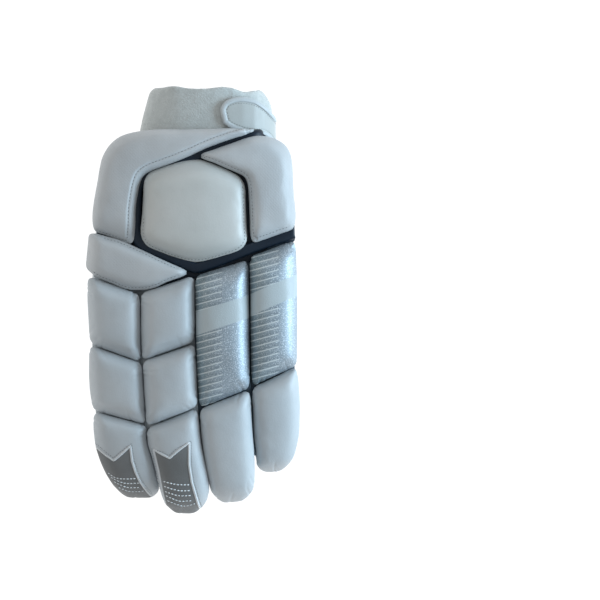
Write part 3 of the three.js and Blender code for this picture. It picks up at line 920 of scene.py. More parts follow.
class Cover:
    """The outside of some pieces, which details are laid on."""

    def __init__(self, objects: Iterable[bpy.types.Object], facing: Facing = Facing.BACK) -> None:
        """Builds the search trees.

        Args:
            objects: the pieces.
            facing: the side that things are laid on.
        """
        self.facing = facing
        self.trees = []
        for obj in objects:
            bm = bmesh.new()
            bm.from_mesh(obj.data)
            self.trees.append(BVHTree.FromBMesh(bm))
            bm.free()

    def at(self, spot: Sequence[float]) -> Hit | None:
        """Finds the surface over or under a plan place.

        Args:
            spot: the place, in millimetres.

        Returns:
            The point and its outward normal in metres, or None where there is nothing.
        """
        side = self.facing.value
        start = Vector((spot[0] * MM, spot[1] * MM, side * SKY))
        best = None
        for tree in self.trees:
            point, normal, _, _ = tree.ray_cast(start, Vector((0.0, 0.0, -side)))
            if point is not None and (best is None or side * point.z > side * best[0].z):
                best = (point, normal if normal.z * side > 0 else -normal)
        return best

    def nearest(self, place: Vector) -> Hit:
        """Finds the surface point nearest to a place.

        Args:
            place: the place, in metres.

        Returns:
            The point and its normal.
        """
        hits = [tree.find_nearest(place) for tree in self.trees]
        point, normal, _, _ = min(hits, key=lambda hit: hit[3])
        return point, normal

    def run(self, path: Sequence[Vector]) -> list[Hit]:
        """Lays a plan path on the surface and leaves out what misses it."""
        found = (self.at(spot) for spot in path)
        return [hit for hit in found if hit is not None]


def laid_strip(
    name: str, spine: Sequence[Hit], profile: Sequence[Point2], wall: float, closed: bool = False
) -> bpy.types.Object:
    """Builds a strip whose cross-section follows a spine on a surface.

    Args:
        name: the piece's name.
        spine: points and outward normals, in metres.
        profile: places across the strip, as sideways and outward distances in millimetres.
        wall: the strip's thickness, in millimetres.
        closed: joins its ends.

    Returns:
        The strip as an object.
    """
    bm = bmesh.new()
    rows, columns = len(spine), len(profile)
    bmesh.ops.create_grid(bm, x_segments=rows - 1, y_segments=columns - 1, size=1.0)
    bm.verts.ensure_lookup_table()
    for vertex in bm.verts:
        row = round((vertex.co.x + 1) / 2 * (rows - 1))
        column = round((vertex.co.y + 1) / 2 * (columns - 1))
        point, normal = spine[row]
        if closed:
            before, after = spine[(row - 1) % (rows - 1)][0], spine[(row + 1) % (rows - 1)][0]
        else:
            before, after = spine[max(row - 1, 0)][0], spine[min(row + 1, rows - 1)][0]
        along = (after - before).normalized()
        side = along.cross(normal).normalized()
        outward = side.cross(along).normalized()
        sideways, lift = profile[column]
        vertex.co = point + side * sideways * MM + outward * lift * MM
    if closed:
        bmesh.ops.remove_doubles(bm, verts=bm.verts, dist=0.02 * MM)
    bmesh.ops.recalc_face_normals(bm, faces=bm.faces)
    bm.normal_update()
    score = 0.0
    for face in bm.faces:
        near = min(spine[:: max(rows // 40, 1)], key=lambda hit: (hit[0] - face.calc_center_median()).length)
        score += face.normal.dot(near[1]) * face.calc_area()
    if score < 0:
        bmesh.ops.reverse_faces(bm, faces=bm.faces)
    bmesh.ops.solidify(bm, geom=bm.faces[:] + bm.edges[:] + bm.verts[:], thickness=wall * MM)
    bmesh.ops.recalc_face_normals(bm, faces=bm.faces)
    return link(name, bm)


def outer_edge(node: str, axis: Point2) -> list[Vector]:
    """Finds the edge loop round the outer face of a curved strap.

    Args:
        node: the strap's node.
        axis: place of the line along Y that the strap runs round, as X and Z in millimetres.

    Returns:
        The loop's points in millimetres, with the first repeated at the end.
    """
    bm = node_bmesh(node, quads=False)
    bm.normal_update()
    links: dict[int, list[int]] = {}
    for edge in bm.edges:
        if edge.calc_face_angle(0.0) > math.radians(50):
            a, b = (vertex.index for vertex in edge.verts)
            links.setdefault(a, []).append(b)
            links.setdefault(b, []).append(a)
    places = {vertex.index: vertex.co / MM for vertex in bm.verts}
    bm.free()

    def reach(chain: Sequence[int]) -> float:
        """Mean distance of a chain from the axis."""
        return sum(math.hypot(places[i].x - axis[0], places[i].z - axis[1]) for i in chain) / len(chain)

    loops = [chain for chain in chains(links) if len(chain) > 20]
    loop = [places[i] for i in max(loops, key=reach)]
    return [*loop, loop[0]]


def refine_spine(spine: Sequence[Hit], parts: int) -> list[Hit]:
    """Divides each step of a spine into equal parts.

    Args:
        spine: points and outward normals, in metres.
        parts: number of parts of each step.

    Returns:
        The finer spine.
    """
    fine = []
    for (a, n), (b, m) in zip(spine[:-1], spine[1:]):
        fine.extend((a.lerp(b, i / parts), n.lerp(m, i / parts).normalized()) for i in range(parts))
    return [*fine, spine[-1]]


@dataclass
class StitchRow:
    """A row of stitches along a spine on a surface."""

    spine: list[Hit]
    pitch: float = 2.6
    length: float = 1.7
    width: float = 0.5
    height: float = 0.45
    lift: float = 0.08


def sew(name: str, rows: Iterable[StitchRow]) -> bpy.types.Object:
    """Builds rows of stitches as one piece.

    Args:
        name: the piece's name.
        rows: the rows.

    Returns:
        The stitches as an object.
    """
    bm = bmesh.new()
    for row in rows:
        if len(row.spine) < 3:
            continue
        walked = 0.0
        next_at = row.pitch / 2
        for (point, normal), (ahead, _) in zip(row.spine[:-1], row.spine[1:]):
            span = (ahead - point).length / MM
            if walked <= next_at < walked + span:
                centre = point.lerp(ahead, (next_at - walked) / span)
                along = (ahead - point).normalized()
                side = along.cross(normal).normalized()
                up = side.cross(along)
                made = bmesh.ops.create_icosphere(bm, subdivisions=1, radius=1.0)["verts"]
                for vertex in made:
                    x, y, z = vertex.co
                    flat = along * x * row.length / 2 + side * y * row.width / 2
                    vertex.co = centre + (flat + up * (z * row.height / 2 + row.lift)) * MM
                next_at += row.pitch
            walked += span
    return link(name, bm)


@dataclass(frozen=True)
class Crease:
    """A pinched line in a cover, in plan, in millimetres; one that fades is deepest where it starts."""

    path: tuple[Point2, ...]
    depth: float
    width: float
    fades: bool = False


def plan_of(points: Sequence[Vector]) -> tuple[Point2, ...]:
    """Writes points as plan places."""
    return tuple(tuple(point.xy) for point in points)


@dataclass(frozen=True)
class PadSpec:
    """How one padded piece is dressed."""

    node: str
    slot: Slot
    finish: Finish
    fill: float = 0.75
    cap: float = 1.6
    puckers: int = 3
    grow: float = 0.3
    facing: Facing = Facing.BACK
    foot: tuple[Point2, Point2] | None = None
    reach: float = 0.0
    dome: float = 0.0


@dataclass
class PaddedPiece:
    """A padded piece: a smooth copy of its node, puffed by pressure, then creased.

    Lengths are in millimetres. Beside each crease the cover rises by the lip's share of its depth.
    """

    spec: PadSpec
    wardrobe: Wardrobe
    pressure: float = 5.0
    frames: int = 16
    rounds: int = 36
    tip_length: float = 30.0
    fold_inset: float = 4.8
    fold_depth: float = 0.45
    fold_width: float = 1.5
    lip: float = 0.35
    lip_spread: float = 2.4
    wobble: float = 0.35
    fine_wobble: float = 0.1
    obj: bpy.types.Object | None = None

    def build(self) -> bpy.types.Object:
        """Builds the piece up to its puffed form.

        Returns:
            The piece's object.
        """
        spec = self.spec
        self.obj = link(f"{spec.node}_cover", node_bmesh(spec.node))
        subdivide(self.obj, QUICK_LEVEL, fitted=FIT_ROUNDS)
        soften(self.obj, spec.facing.value, self.rounds)
        self.lengthen()
        self.puff()
        self.crown()
        subdivide(self.obj, FINE_LEVEL - QUICK_LEVEL)
        return self.obj

    def crown(self) -> None:
        """Raises the middle of the outer face by the spec's dome."""
        if self.spec.dome == 0:
            return
        places = vertex_array(self.obj.data)
        low, high = places.min(axis=0), places.max(axis=0)
        spread = (2 * places - low - high) / (high - low)
        share = np.clip(1.0 - spread[:, 0] ** 2 - spread[:, 1] ** 2, 0.0, 1.0) * (spread[:, 2] + 1) / 2
        places[:, 2] += self.spec.dome * MM * share
        set_places(self.obj.data, places)

    def lengthen(self) -> None:
        """Draws the rounded end of a tip out by the spec's reach."""
        if self.spec.reach == 0:
            return
        places = vertex_array(self.obj.data)
        length = self.tip_length * MM
        share = np.clip((places[:, 1].min() + length - places[:, 1]) / length, 0.0, 1.0)
        places[:, 1] -= self.spec.reach * MM * share**2
        set_places(self.obj.data, places)

    def puff(self) -> None:
        """Swells the upper side with a short pressure simulation, up to the spec's cap."""
        mesh = self.obj.data
        before = vertex_array(mesh).copy()
        side = self.spec.facing.value
        normals = vertex_array(mesh, "normal") * side
        pinned = [i for i in range(len(mesh.vertices)) if normals[i, 2] < 0.12]
        group = self.obj.vertex_groups.new(name="sewn down")
        group.add(pinned, 1.0, "REPLACE")
        cloth = self.obj.modifiers.new("Puff", "CLOTH")
        settings = cloth.settings
        settings.quality = 5
        settings.mass = 0.25
        settings.tension_stiffness = 12.0
        settings.compression_stiffness = 12.0
        settings.shear_stiffness = 4.0
        settings.bending_stiffness = 0.6
        settings.use_pressure = True
        settings.uniform_pressure_force = self.pressure
        settings.effector_weights.gravity = 0.0
        settings.vertex_group_mass = group.name
        cloth.collision_settings.use_collision = False
        cloth.point_cache.frame_start = 1
        cloth.point_cache.frame_end = self.frames
        scene = bpy.context.scene
        for step in range(1, self.frames + 1):
            scene.frame_set(step)
        seen = self.obj.evaluated_get(bpy.context.evaluated_depsgraph_get())
        move = vertex_array(seen.data) - before
        far = np.linalg.norm(move, axis=1)
        limit = self.spec.cap * MM
        move *= np.minimum(1.0, limit / np.maximum(far, 1e-9))[:, None]
        self.obj.modifiers.clear()
        self.obj.vertex_groups.clear()
        set_places(mesh, before + move)
        scene.frame_set(1)

    def corner_puckers(self) -> list[Crease]:
        """Draws short creases that run in from the corners of the piece.

        Returns:
            The creases, each fading inwards.
        """
        spec = self.spec
        low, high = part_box(spec.node)
        draw = random.Random(spec.node)
        centre = Vector(((low[0] + high[0]) / 2, (low[1] + high[1]) / 2)) / MM
        outline = outline_of(self.obj)
        creases = []
        for corner in sharpest_places(outline, 4):
            for _ in range(spec.puckers):
                start = outline[(corner + draw.randint(-9, 9)) % len(outline)]
                inward = (centre - start.xy).normalized()
                turn = draw.uniform(-0.5, 0.5)
                c, s = math.cos(turn), math.sin(turn)
                heading = Vector((inward.x * c - inward.y * s, inward.x * s + inward.y * c))
                length = draw.uniform(5.0, 11.0)
                bend = Vector((-heading.y, heading.x)) * draw.uniform(-1.5, 1.5)
                middle = start.xy + heading * length / 2 + bend
                end = start.xy + heading * length
                path = (tuple(start.xy), tuple(middle), tuple(end))
                creases.append(Crease(path, draw.uniform(0.25, 0.7), draw.uniform(0.7, 1.3), fades=True))
        return creases

    def foot_fold(self) -> list[Crease]:
        """Draws the soft fold where the cover turns down to its foot end.

        Returns:
            One crease, or none for a piece without a foot.
        """
        if self.spec.foot is None:
            return []
        run = inset_run(self.obj, self.fold_inset, *self.spec.foot, step=3.0)
        return [Crease(plan_of(run), self.fold_depth, self.fold_width)]

    def sculpt(self, creases: Iterable[Crease] = ()) -> None:
        """Adds the corner puckers, the given creases and a faint unevenness of the stuffing.

        Args:
            creases: the creases that the piece has besides.
        """
        spec = self.spec
        mesh = self.obj.data
        places = vertex_array(mesh)
        normals = vertex_array(mesh, "normal")
        free = np.clip(normals[:, 2] * spec.facing.value * 2.0 + 0.6, 0.0, 1.0)
        amount = np.full(len(places), spec.grow * MM)
        for crease in [*self.corner_puckers(), *self.foot_fold(), *creases]:
            far, along = distance_to_path(places, crease.path)
            total = sum(math.dist(a, b) for a, b in zip(crease.path[:-1], crease.path[1:]))
            fade = np.clip(1.0 - along / total, 0.0, 1.0) ** 0.7 if crease.fades else 1.0
            lip_width = self.lip_spread * crease.width
            amount -= crease.depth * MM * np.exp(-((far / crease.width) ** 2)) * fade
            amount += self.lip * crease.depth * MM * np.exp(-((far / lip_width) ** 2)) * fade
        wobble = np.array([noise.noise(Vector(place) * 55.0) for place in places])
        fine = np.array([noise.noise(Vector(place) * 160.0 + Vector((3.0, 1.0, 2.0))) for place in places])
        amount += (self.wobble * wobble + self.fine_wobble * fine) * MM
        push(self.obj, amount * free)

    def dress(self) -> None:
        """Gives the piece its finish and hides its node."""
        spec = self.spec
        finish_piece(self.obj, self.wardrobe.material(spec.finish))
        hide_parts(spec.node)


def sharpest_places(outline: Sequence[Vector], count: int) -> list[int]:
    """Finds the places where an outline turns most, well apart from each other.

    Args:
        outline: the outline's points in even steps.
        count: how many places are wanted.

    Returns:
        The places' indices, the sharpest first.
    """
    size = len(outline)
    reach = 5
    turns = []
    for i in range(size):
        a = (outline[i] - outline[(i - reach) % size]).xy
        b = (outline[(i + reach) % size] - outline[i]).xy
        turns.append(a.angle(b, 0.0))
    chosen: list[int] = []
    for i in sorted(range(size), key=lambda k: -turns[k]):
        if all(min((i - k) % size, (k - i) % size) > size / 10 for k in chosen):
            chosen.append(i)
        if len(chosen) == count:
            break
    return chosen


@dataclass(frozen=True)
class Seam:
    """A sewn line inside a pad's outline, run counter-clockwise from start to end, in millimetres."""

    node: str
    inset: float
    start: Point2
    end: Point2
    press: float = 0.5


@dataclass
class BackOfHand:
    """The pads on the back of the hand, with their seams and the dark channel between them."""

    wardrobe: Wardrobe
    specs: tuple[PadSpec, ...] = (
        PadSpec("index_side_pad", Slot.PAD, PAD_DIMPLED, fill=0.8, cap=1.2, puckers=0),
        PadSpec("little_side_pad", Slot.PAD, PAD_DIMPLED, fill=0.8, cap=1.2, puckers=0),
        PadSpec("hexagon_pad", Slot.PANEL, PANEL_WHITE, fill=0.8, cap=1.2, puckers=0, dome=2.8),
        PadSpec("chevron_pad", Slot.PAD, PAD_DIMPLED, fill=0.8, cap=1.2, puckers=0),
    )
    seams: tuple[Seam, ...] = (
        Seam("index_side_pad", 5.2, (-40.0, 44.0), (38.0, 124.5), 0.8),
        Seam("index_side_pad", 1.6, (-72.0, 51.0), (-49.0, 43.0)),
        Seam("little_side_pad", 2.4, (10.0, 106.0), (47.0, 46.0)),
        Seam("little_side_pad", 3.2, (47.0, 46.0), (72.0, 54.0)),
        Seam("hexagon_pad", 1.9, (-37.0, 62.0), (36.0, 86.0)),
        Seam("chevron_pad", 1.9, (-12.0, 25.0), (-66.0, 48.0)),
        Seam("chevron_pad", 1.9, (-73.0, 24.0), (-12.0, 20.0)),
    )
    channel_end: tuple[tuple[Point3, Point3], ...] = (
        ((46.9, 123.6, 48.5), (1.0, 0.2, 0.0)), ((47.1, 123.6, 52.5), (0.93, 0.2, 0.3)),
        ((46.9, 123.5, 54.8), (0.6, 0.12, 0.78)), ((45.4, 123.2, 55.6), (0.15, 0.03, 0.99)),
    )
    channel_path: tuple[Point2, ...] = (
        (43.6, 122.8), (36.0, 121.2), (28.0, 118.8), (20.0, 115.8), (10.0, 111.6), (2.0, 108.4),
        (-8.0, 104.2), (-20.0, 99.6), (-30.0, 95.8), (-37.5, 91.0),
        (-42.0, 82.0), (-43.0, 65.0), (-43.0, 50.0), (-37.0, 40.5), (-20.0, 33.0), (-2.0, 25.5), (4.0, 24.5),
        (20.0, 30.0), (42.0, 38.5), (60.0, 45.0), (76.5, 50.5),
    )
    channel_width: float = 9.0
    channel_top: float = 5.9
    channel_arch: tuple[Point2, ...] = (
        (-0.95, 0.6), (-0.75, 0.88), (-0.4, 0.98), (0.0, 1.0), (0.4, 0.98), (0.75, 0.88), (0.95, 0.6),
    )
    channel_foot: float = 0.3
    pieces: dict[str, bpy.types.Object] = field(default_factory=dict)

    def build(self) -> None:
        """Builds the pads, their stitches and the channel."""
        for spec in self.specs:
            pad = PaddedPiece(spec, self.wardrobe)
            self.pieces[spec.node] = pad.build()
            creases = [
                Crease(plan_of(inset_run(pad.obj, seam.inset, seam.start, seam.end, 3.0)), seam.press, 1.0)
                for seam in self.seams
                if seam.node == spec.node
            ]
            pad.sculpt(creases)
            pad.dress()
        self.sew_seams()
        self.lay_channel()

    def sew_seams(self) -> None:
        """Builds the stitches of the seams."""
        rows = []
        for seam in self.seams:
            pad = self.pieces[seam.node]
            run = inset_run(pad, seam.inset, seam.start, seam.end, 0.5)
            rows.append(StitchRow(Cover([pad]).run(run)))
        finish_piece(sew("back_stitches", rows), self.wardrobe.material(THREAD_GREY_AND_SHADED))

    def lay_channel(self) -> None:
        """Builds the dark layer under the pads and the padded dark strip in the gap between them."""
        base = link("channel_layer", node_bmesh("back_base"))
        subdivide(base, QUICK_LEVEL, fitted=FIT_ROUNDS)
        finish_piece(base, self.wardrobe.material(CHANNEL_NAVY))
        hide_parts("back_base")
        spine = [(Vector(place) * MM, Vector(normal)) for place, normal in self.channel_end]
        spine += Cover([base]).run(smooth_path(self.channel_path, 2.0))
        half = self.channel_width / 2
        arch = [(across * half, rise * self.channel_top) for across, rise in self.channel_arch]
        shape = ((-half, self.channel_foot), *arch, (half, self.channel_foot))
        strip = laid_strip("channel_strip", spine, shape, 1.0)
        subdivide(strip, 1)
        finish_piece(strip, self.wardrobe.material(CHANNEL_NAVY))


@dataclass(frozen=True)
class TipCap:
    """The grey cap on a finger tip: its edge and its rows of stitches, in plan, in millimetres."""

    node: str
    edge: tuple[Point2, ...]
    open_side: tuple[Point2, ...]
    rows: tuple[tuple[Point2, ...], ...]


INDEX_CAP = TipCap(
    node="index_tip_pad",
    edge=(
        (-76.0, -109.0), (-72.1, -112.0), (-66.8, -116.3), (-60.3, -120.8), (-54.8, -116.3), (-47.6, -109.6),
        (-46.3, -121.4), (-44.0, -129.0), (-40.7, -136.8), (-36.2, -143.4), (-33.0, -147.5),
    ),
    open_side=((-33.0, -160.0), (-80.0, -160.0)),
    rows=(
        ((-64.9, -130.1), (-57.2, -134.4), (-43.4, -134.4)),
        ((-62.7, -133.5), (-52.8, -137.9), (-41.9, -137.9)),
        ((-60.5, -136.8), (-50.6, -141.2), (-40.5, -141.2)),
        ((-57.2, -141.2), (-48.4, -144.5), (-38.6, -144.1)),
    ),
)
MIDDLE_CAP = TipCap(
    node="middle_tip_pad",
    edge=(
        (-21.5, -153.0), (-24.0, -141.0), (-26.3, -128.0), (-30.0, -112.3), (-24.0, -115.9), (-18.0, -118.8),
        (-11.3, -112.9), (-3.2, -107.0), (-3.4, -123.5), (-1.5, -136.8), (0.8, -145.5), (4.2, -157.5),
    ),
    open_side=((4.2, -170.0), (-21.5, -170.0)),
    rows=(
        ((-22.9, -136.5), (-12.8, -138.8), (-3.0, -139.0)),
        ((-22.5, -140.2), (-12.0, -143.3), (-2.4, -143.4)),
        ((-21.9, -144.0), (-12.0, -147.2), (-1.5, -147.2)),
        ((-21.3, -147.2), (-10.9, -151.4), (-0.4, -150.9)),
        ((-20.3, -151.1), (-8.6, -155.3), (0.8, -153.5)),
    ),
)


def inside(outline: Sequence[Point2], spot: Point2) -> bool:
    """Says whether a place lies inside an outline.

    Args:
        outline: the outline's points.
        spot: the place, in the same unit.

    Returns:
        True for a place inside.
    """
    x, y = spot
    within = False
    for (ax, ay), (bx, by) in zip(outline, [*outline[1:], outline[0]]):
        if (ay > y) != (by > y) and x < (bx - ax) * (y - ay) / (by - ay) + ax:
            within = not within
    return within


def let_in(
    obj: bpy.types.Object,
    path: Sequence[Point2],
    outline: Sequence[Point2],
    material: bpy.types.Material,
    cover: Cover,
    deep: float,
) -> None:
    """Cuts a piece along a plan path and gives its faces inside an outline another material.

    Args:
        obj: the piece.
        path: the path of the cut, in millimetres.
        outline: the area's outline, in millimetres.
        material: the area's material.
        cover: the piece's surface.
        deep: how far below that surface a face may lie, in millimetres.
    """
    slot = len(obj.data.materials)
    obj.data.materials.append(material)
    bm = bmesh.new()
    bm.from_mesh(obj.data)
    for a, b in zip(path[:-1], path[1:]):
        across = Vector((b[1] - a[1], a[0] - b[0], 0.0)).normalized()
        low = Vector((min(a[0], b[0]) - CUT_REACH, min(a[1], b[1]) - CUT_REACH)) * MM
        high = Vector((max(a[0], b[0]) + CUT_REACH, max(a[1], b[1]) + CUT_REACH)) * MM
        near = []
        for face in bm.faces:
            centre = face.calc_center_median()
            if low.x < centre.x < high.x and low.y < centre.y < high.y:
                near.append(face)
        geom = {item for face in near for item in (face, *face.edges, *face.verts)}
        foot = Vector((*a, 0.0)) * MM
        bmesh.ops.bisect_plane(bm, geom=list(geom), dist=1e-7, plane_co=foot, plane_no=across)
    for face in bm.faces:
        centre = face.calc_center_median()
        if not inside(outline, (centre.x / MM, centre.y / MM)):
            continue
        hit = cover.at(centre / MM)
        if hit is not None and abs(hit[0].z - centre.z) < deep * MM:
            face.material_index = slot
    bm.to_mesh(obj.data)
    bm.free()


@dataclass
class Backing:
    """The layer that one finger's pads are sewn on, seen in the gaps between them; lengths in millimetres.

    Left and right say how far it stands out beyond the pads, the margins how far it stops short of their
    ends, and slack is its unrolled length as a share of its length in plan.
    """

    finger: str
    pads: tuple[str, ...]
    left: float
    right: float
    tip_margin: float
    finish: LeatherFinish
    top_margin: float = 1.0
    slack: float = 1.05
    thick: float = 0.8
    lowered: float = 0.25
    steepest: float = -0.7
    columns: int = 13
    rows: int = 60
    flat: Point2 = (0.0, 0.0)

    def build(self, pieces: dict[str, bpy.types.Object]) -> bpy.types.Object:
        """Lays a sheet on the pads' lower faces, as wide as the pads and carried on across their gaps.

        Args:
            pieces: the pads' objects by their nodes' names.

        Returns:
            The sheet.
        """
        lower = Cover([pieces[pad] for pad in self.pads], Facing.PALM)
        outlines = [rim_loop(pieces[pad]) for pad in self.pads]
        low = min(point.y for outline in outlines for point in outline) + self.tip_margin
        high = max(point.y for outline in outlines for point in outline) - self.top_margin
        ys = np.linspace(low, high, self.rows)
        known, lefts, rights = [], [], []
        for y in ys:
            crossings = [x for outline in outlines for x in crossings_at(outline, y)]
            if len(crossings) > 1:
                known.append(y)
                lefts.append(min(crossings))
                rights.append(max(crossings))
        left = smoothed(np.interp(ys, known, lefts), 5) - self.left
        right = smoothed(np.interp(ys, known, rights), 5) + self.right
        bm = bmesh.new()
        bmesh.ops.create_grid(bm, x_segments=self.columns - 1, y_segments=self.rows - 1, size=1.0)
        heights = np.full((self.columns, self.rows), np.nan)
        shares = np.linspace(0.0, 1.0, self.columns)
        for i, share in enumerate(shares):
            for j, y in enumerate(ys):
                hit = lower.at((left[j] + (right[j] - left[j]) * share, y))
                if hit is not None and hit[1].z < self.steepest:
                    heights[i, j] = hit[0].z / MM
        inner = slice(2, self.columns - 2)
        for j in range(self.rows):
            column = heights[inner, j]
            if np.isnan(column).any():
                heights[:, j] = np.nan
                continue
            fit = np.polyfit(shares[inner], column, 2)
            heights[:, j] = np.polyval(fit, shares)
        for i in range(self.columns):
            good = ~np.isnan(heights[i])
            heights[i] = smoothed(np.interp(ys, ys[good], heights[i][good]), 3)
        for vertex in bm.verts:
            i = round((vertex.co.x + 1) / 2 * (self.columns - 1))
            j = round((vertex.co.y + 1) / 2 * (self.rows - 1))
            x = left[j] + (right[j] - left[j]) * shares[i]
            vertex.co = Vector((x, ys[j], heights[i, j] - self.lowered)) * MM
        area = sum(face.calc_area() for face in bm.faces)
        length = (high - low) * MM * self.slack
        self.flat = (area / length, length)
        bmesh.ops.solidify(bm, geom=bm.faces[:] + bm.edges[:] + bm.verts[:], thickness=self.thick * MM)
        bmesh.ops.recalc_face_normals(bm, faces=bm.faces)
        return link(f"{self.finger}_backing", bm)


def crossings_at(outline: Sequence[Vector], y: float) -> list[float]:
    """Finds where a plan outline crosses a line of constant Y.

    Args:
        outline: the outline's points.
        y: the line's Y, in the same unit.

    Returns:
        X of each crossing.
    """
    found = []
    for a, b in zip(outline, [*outline[1:], outline[0]]):
        if (a.y > y) != (b.y > y):
            found.append(a.x + (b.x - a.x) * (y - a.y) / (b.y - a.y))
    return found


def smoothed(values: np.ndarray, reach: int) -> np.ndarray:
    """Averages each value with its neighbours."""
    padded = np.pad(values, reach, mode="edge")
    return np.convolve(padded, np.ones(2 * reach + 1) / (2 * reach + 1), mode="valid")


@dataclass
class Fingers:
    """The rolls and tip pads of the four fingers."""

    wardrobe: Wardrobe
    specs: tuple[PadSpec, ...] = (
        PadSpec("index_upper_roll", Slot.PAD, PAD_WHITE, foot=((-76.0, -31.0), (-41.0, -45.0))),
        PadSpec("index_middle_roll", Slot.PAD, PAD_WHITE, foot=((-74.0, -82.5), (-38.0, -94.0))),
        PadSpec("index_tip_pad", Slot.PAD, PAD_WHITE, puckers=1, reach=1.6),
        PadSpec("middle_upper_roll", Slot.PAD, PAD_WHITE, foot=((-37.0, -43.5), (-1.5, -31.0))),
        PadSpec("middle_middle_roll", Slot.PAD, PAD_WHITE, foot=((-34.5, -94.0), (1.5, -81.0))),
        PadSpec("middle_tip_pad", Slot.PAD, PAD_WHITE, puckers=1, reach=1.3),
        PadSpec("ring_long_roll", Slot.SILVER, RING_SILVER, foot=((4.5, -79.5), (42.0, -64.0))),
        PadSpec("ring_tip_pad", Slot.PAD, PAD_WHITE, puckers=2, reach=1.9),
        PadSpec("little_long_roll", Slot.SILVER, LITTLE_SILVER, foot=((44.0, -64.0), (77.0, -47.5))),
        PadSpec("little_tip_pad", Slot.PAD, PAD_WHITE, puckers=2, reach=1.4),
    )
    caps: tuple[TipCap, ...] = (INDEX_CAP, MIDDLE_CAP)
    backings: tuple[Backing, ...] = (
        Backing(
            "index", ("index_upper_roll", "index_middle_roll", "index_tip_pad"), -1.6, 2.2, 22.0, BACKING_PALE
        ),
        Backing(
            "middle", ("middle_upper_roll", "middle_middle_roll", "middle_tip_pad"), 2.2, 0.6, 30.0,
            BACKING_PALE,
        ),
        Backing("ring", ("ring_long_roll", "ring_tip_pad"), 2.8, 1.6, 36.0, BACKING_NAVY),
        Backing("little", ("little_long_roll", "little_tip_pad"), 2.2, -1.6, 20.0, BACKING_NAVY),
    )
    flange_width: float = 2.0
    cap_depth: float = 80.0
    pieces: dict[str, bpy.types.Object] = field(default_factory=dict)

    def build(self) -> None:
        """Builds the rolls, the tips and the caps of the tips."""
        for spec in self.specs:
            pad = PaddedPiece(spec, self.wardrobe)
            self.pieces[spec.node] = pad.build()
            pad.sculpt()
            pad.dress()
        for cap in self.caps:
            self.cap_tip(cap)
        for backing in self.backings:
            piece = backing.build(self.pieces)
            finish_piece(piece, self.wardrobe.material(backing.finish))

    def cap_tip(self, cap: TipCap) -> None:
        """Colours a tip inside its cap's edge and sews the folded edge and the rows of stitches on it.

        Args:
            cap: the cap.
        """
        obj = self.pieces[cap.node]
        area = [*cap.edge, *cap.open_side]
        let_in(obj, cap.edge, area, self.wardrobe.material(CAP_GREY), Cover([obj]), self.cap_depth)
        cover = Cover([obj])
        name = cap.node.split("_")[0]
        edge = [Vector((*spot, 0.0)) for spot in cap.edge]
        spine = cover.run(even_steps(edge, 0.8))
        half = self.flange_width / 2
        shape = ((-half, -0.1), (-0.6 * half, 0.5), (0.0, 0.65), (0.6 * half, 0.5), (half, -0.1))
        flange = laid_strip(f"{name}_cap_edge", spine, shape, 0.4)
        finish_piece(flange, self.wardrobe.material(FLANGE_PALE))
        beside = offset_path(edge, self.flange_width * 0.95, cap)
        edge_row = StitchRow(cover.run(even_steps(beside, 0.5)), pitch=2.1, length=1.3, width=0.42)
        finish_piece(sew(f"{name}_cap_seam", [edge_row]), self.wardrobe.material(THREAD_GREY_AND_SHADED))
        rows = [
            StitchRow(cover.run(smooth_path(row, 0.5)), pitch=2.6, length=2.2, width=1.1, height=1.0)
            for row in cap.rows
        ]
        finish_piece(sew(f"{name}_cap_stitches", rows), self.wardrobe.material(THREAD_PALE_AND_HIGHLIT))


def offset_path(path: Sequence[Vector], distance: float, cap: TipCap) -> list[Vector]:
    """Moves a path sideways, away from the inside of a cap.

    Args:
        path: the path's points, in millimetres.
        distance: how far they move, in millimetres.
        cap: the cap.

    Returns:
        The moved points.
    """
    outline = [*cap.edge, *cap.open_side]
    moved = []
    for i, point in enumerate(path):
        ahead = path[min(i + 1, len(path) - 1)] - path[max(i - 1, 0)]
        side = Vector((-ahead.y, ahead.x, 0.0)).normalized()
        probe = point + side * 0.3
        if inside(outline, (probe.x, probe.y)):
            side = -side
        moved.append(point + side * distance)
    return moved


@dataclass(frozen=True)
class Leather:
    """A sewn leather shell and the size of its cut: width, length and area, in metres."""

    node: str
    flat: Point2
    area: float
    rests_on: str


@dataclass(frozen=True)
class Patch:
    """Another leather let into the palm, in plan, in millimetres."""

    outline: tuple[Point2, ...]
    finish: LeatherFinish


